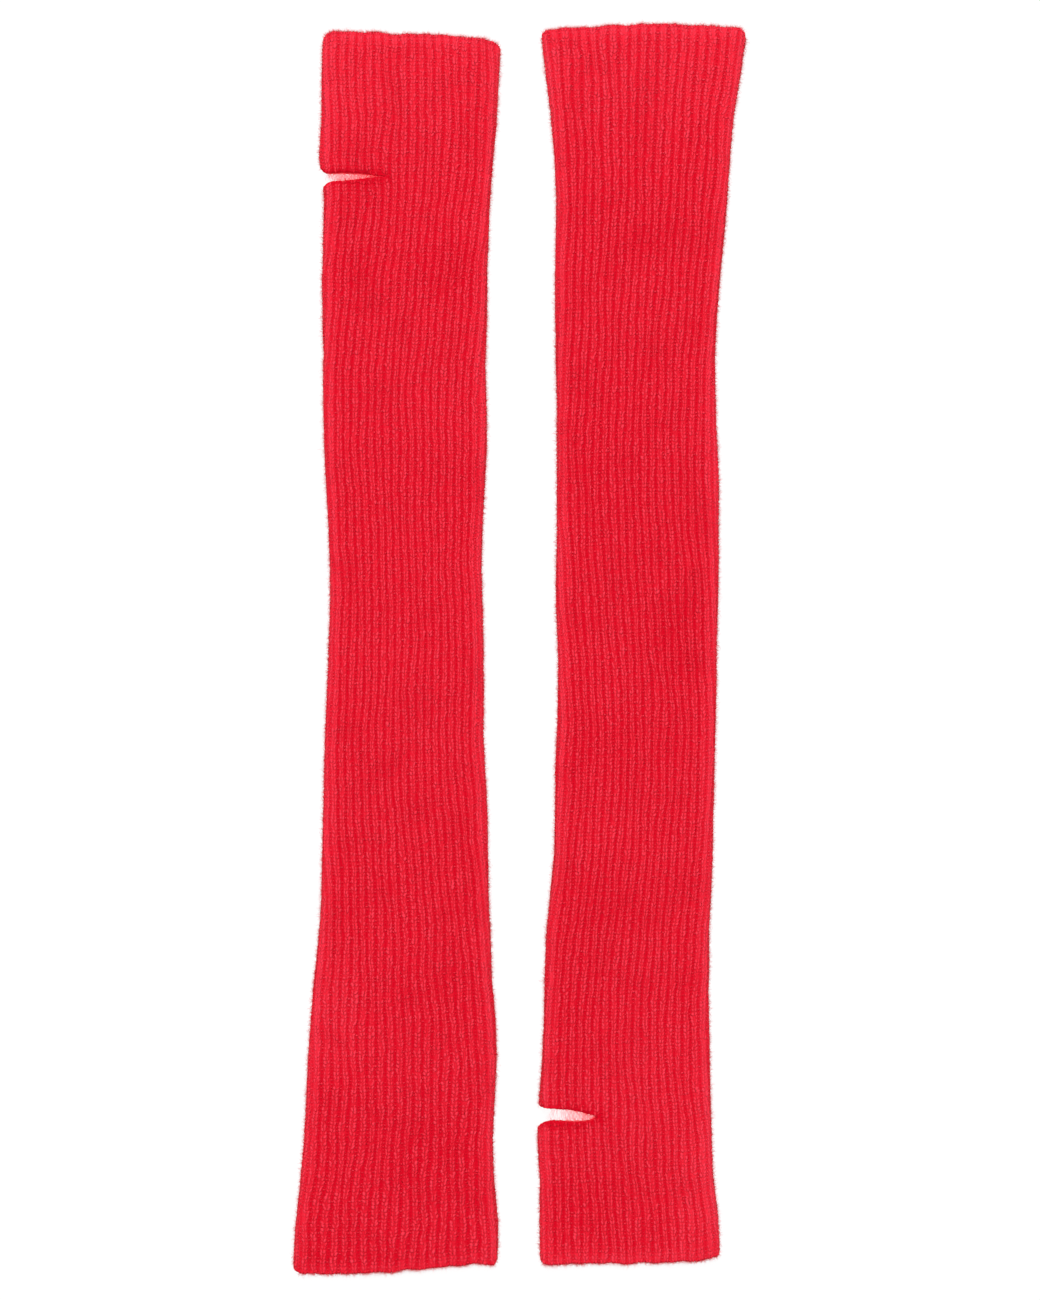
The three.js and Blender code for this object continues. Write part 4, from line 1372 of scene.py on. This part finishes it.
def yarn_material(name, furrow_amount, bump, mottle, sheen):
    material = bpy.data.materials.new(name)
    material.use_nodes = True
    tree = material.node_tree
    shader = tree.nodes["Principled BSDF"]
    shader.inputs["Specular IOR Level"].default_value = 0.0
    shader.inputs["Sheen Weight"].default_value = sheen
    shader.inputs["Sheen Roughness"].default_value = SHEEN_ROUGHNESS
    shader.inputs["Sheen Tint"].default_value = SHEEN_TINT
    nap_and_shading = place_group(tree, nap_and_shading_group, Deep=DEEP_RED, Base=RED, Pale=PALE_RED)
    dye = place_group(tree, mottling, Deep=DEEP_RED, Pale=PALE_RED, Amount=mottle)
    knit = place_group(tree, relief)
    tree.links.new(nap_and_shading.outputs["Color"], dye.inputs["Base"])
    furrow = add_math(tree, "MULTIPLY", knit.outputs["Furrow"], furrow_amount)
    color = add_mix(tree, furrow, dye.outputs["Color"], DEEP_RED)
    tree.links.new(color, shader.inputs["Base Color"])
    rough = add_math(tree, "MULTIPLY", dye.outputs["Fibre"], ROUGHNESS_SPREAD)
    rough = add_math(tree, "ADD", rough, LEAST_ROUGHNESS)
    tree.links.new(rough, shader.inputs["Roughness"])
    height = add_math(tree, "MULTIPLY", knit.outputs["Height"], bump)
    grain = add_math(tree, "MULTIPLY", dye.outputs["Fibre"], GRAIN_BUMP)
    height = add_math(tree, "ADD", height, grain)
    bumped = tree.nodes.new("ShaderNodeBump")
    bumped.inputs["Strength"].default_value = BUMP_STRENGTH
    bumped.inputs["Distance"].default_value = BUMP_DISTANCE
    tree.links.new(height, bumped.inputs["Height"])
    tree.links.new(bumped.outputs["Normal"], shader.inputs["Normal"])
    return material


wall_yarn = yarn_material("wall yarn", furrow_amount=0.8, bump=1.0, mottle=0.20, sheen=0.08)
stitch_yarn = yarn_material("stitch yarn", furrow_amount=0.0, bump=0.0, mottle=0.34, sheen=0.04)
print("yarns", [material.name for material in (wall_yarn, stitch_yarn)])

# %% [markdown]
# ## A single fibre
#
# A single fibre lets light through, so it looks pink, and paler towards its thin tip. The same
# nap group gives these colours, because each needle carries its paleness as its nap. Over a slit
# light comes through from below as well, which a weak glow of the fibre itself stands for.

# %% Mix the fibre materials
FIBRE_ROOT = (0.74, 0.02, 0.04, 1.0)
FIBRE_MIDDLE = (0.90, 0.17, 0.20, 1.0)
FIBRE_TIP = (1.0, 0.52, 0.55, 1.0)
FIBRE_ROUGHNESS, FIBRE_GLOSS = 0.8, 0.1


def fibre_material(name, light_through):
    material = bpy.data.materials.new(name)
    material.use_nodes = True
    tree = material.node_tree
    shader = tree.nodes["Principled BSDF"]
    nap_and_shading = place_group(tree, nap_and_shading_group, Deep=FIBRE_ROOT, Base=FIBRE_MIDDLE, Pale=FIBRE_TIP)
    for socket in ("Base Color", "Emission Color"):
        tree.links.new(nap_and_shading.outputs["Color"], shader.inputs[socket])
    shader.inputs["Emission Strength"].default_value = light_through
    shader.inputs["Roughness"].default_value = FIBRE_ROUGHNESS
    shader.inputs["Specular IOR Level"].default_value = FIBRE_GLOSS
    return material


loose_fibre = fibre_material("loose fibres", 0.0)
slit_fibre = fibre_material("fibres over a slit", 0.55)
print("fibres", [material.name for material in (loose_fibre, slit_fibre)])


# %% Dress the pieces
def dress(piece, material):
    piece.data.materials.clear()
    piece.data.materials.append(material)


for side in NODES:
    dress(walls[side], wall_yarn)
    for piece in (*stitches[side], purls[side], edges[side]):
        dress(piece, stitch_yarn)
    for piece in (fibres[side], short_fibres[side]):
        dress(piece, loose_fibre)
    dress(slit_fibres[side], slit_fibre)
print("dressed", {side: walls[side].data.materials[0].name for side in NODES})

# %% [markdown]
# ## Put every piece on the body
#
# Cloth has no joints, so all pieces ride on the one body. Each wall stands for its solid, which
# is hidden. The tube cut open along one rib and laid flat would be as wide as the tube is round.


for side, node in NODES.items():
    extras = [*stitches[side], purls[side], edges[side]]
    extras += [fibres[side], short_fibres[side], slit_fibres[side]]
    for piece in [walls[side], *extras]:
        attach(piece, "root")
    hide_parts(node)

# %% [markdown]
# ## Ground and light
#
# The pair lies on a white light table. Most of the table's white is its own light, so it shows
# no shadow and stays white between the lips of a slit. It could be plain paper, but paper under
# light that is bright enough for the cloth burns out, and swallows the halo of fibres. The light
# from above is even and soft, and comes a little more from the top of the picture. An even sky
# does most of it. One broad lamp gives the direction, large and high, without a hard shadow.

# %% Ground
GROUND_SIZE = 6.0
GROUND_DROP = 0.00005
GROUND_GREY, GROUND_GLOW = 0.10, 0.91  # together they make a white that is not overexposed

ground_mesh = bpy.data.meshes.new("ground")
corner = GROUND_SIZE / 2
ground_mesh.from_pydata(
    [(-corner, -corner, 0), (corner, -corner, 0), (corner, corner, 0), (-corner, corner, 0)],
    [],
    [(0, 1, 2, 3)],
)
ground = bpy.data.objects.new("ground", ground_mesh)
ground.location.z = -GROUND_DROP
bpy.context.scene.collection.objects.link(ground)
paper = bpy.data.materials.new("white ground")
paper.use_nodes = True
paper_shader = paper.node_tree.nodes["Principled BSDF"]
paper_shader.inputs["Base Color"].default_value = (GROUND_GREY, GROUND_GREY, GROUND_GREY, 1.0)
paper_shader.inputs["Roughness"].default_value = 1.0
paper_shader.inputs["Specular IOR Level"].default_value = 0.0
paper_shader.inputs["Emission Color"].default_value = (1.0, 1.0, 1.0, 1.0)
paper_shader.inputs["Emission Strength"].default_value = GROUND_GLOW
dress(ground, paper)

# %% Light
SKY_STRENGTH = 0.98
LAMP_POWER = 88.0
LAMP_SIZE = 2.0
LAMP_PLACE = Vector((-0.45, 2.6, 3.0))

world = bpy.data.worlds.new("soft sky")
world.use_nodes = True
world.node_tree.nodes["Background"].inputs["Color"].default_value = (1.0, 1.0, 1.0, 1.0)
world.node_tree.nodes["Background"].inputs["Strength"].default_value = SKY_STRENGTH
bpy.context.scene.world = world
lamp_data = bpy.data.lights.new("broad lamp", "AREA")
lamp_data.shape = "DISK"
lamp_data.size = LAMP_SIZE
lamp_data.energy = LAMP_POWER
lamp = bpy.data.objects.new("broad lamp", lamp_data)
lamp.location = LAMP_PLACE
lamp.rotation_euler = (-LAMP_PLACE).to_track_quat("-Z", "Y").to_euler()
bpy.context.scene.collection.objects.link(lamp)
bpy.context.scene.view_settings.view_transform = "Standard"
bpy.context.scene.view_settings.look = "None"
print("sky", SKY_STRENGTH, "lamp", LAMP_POWER)
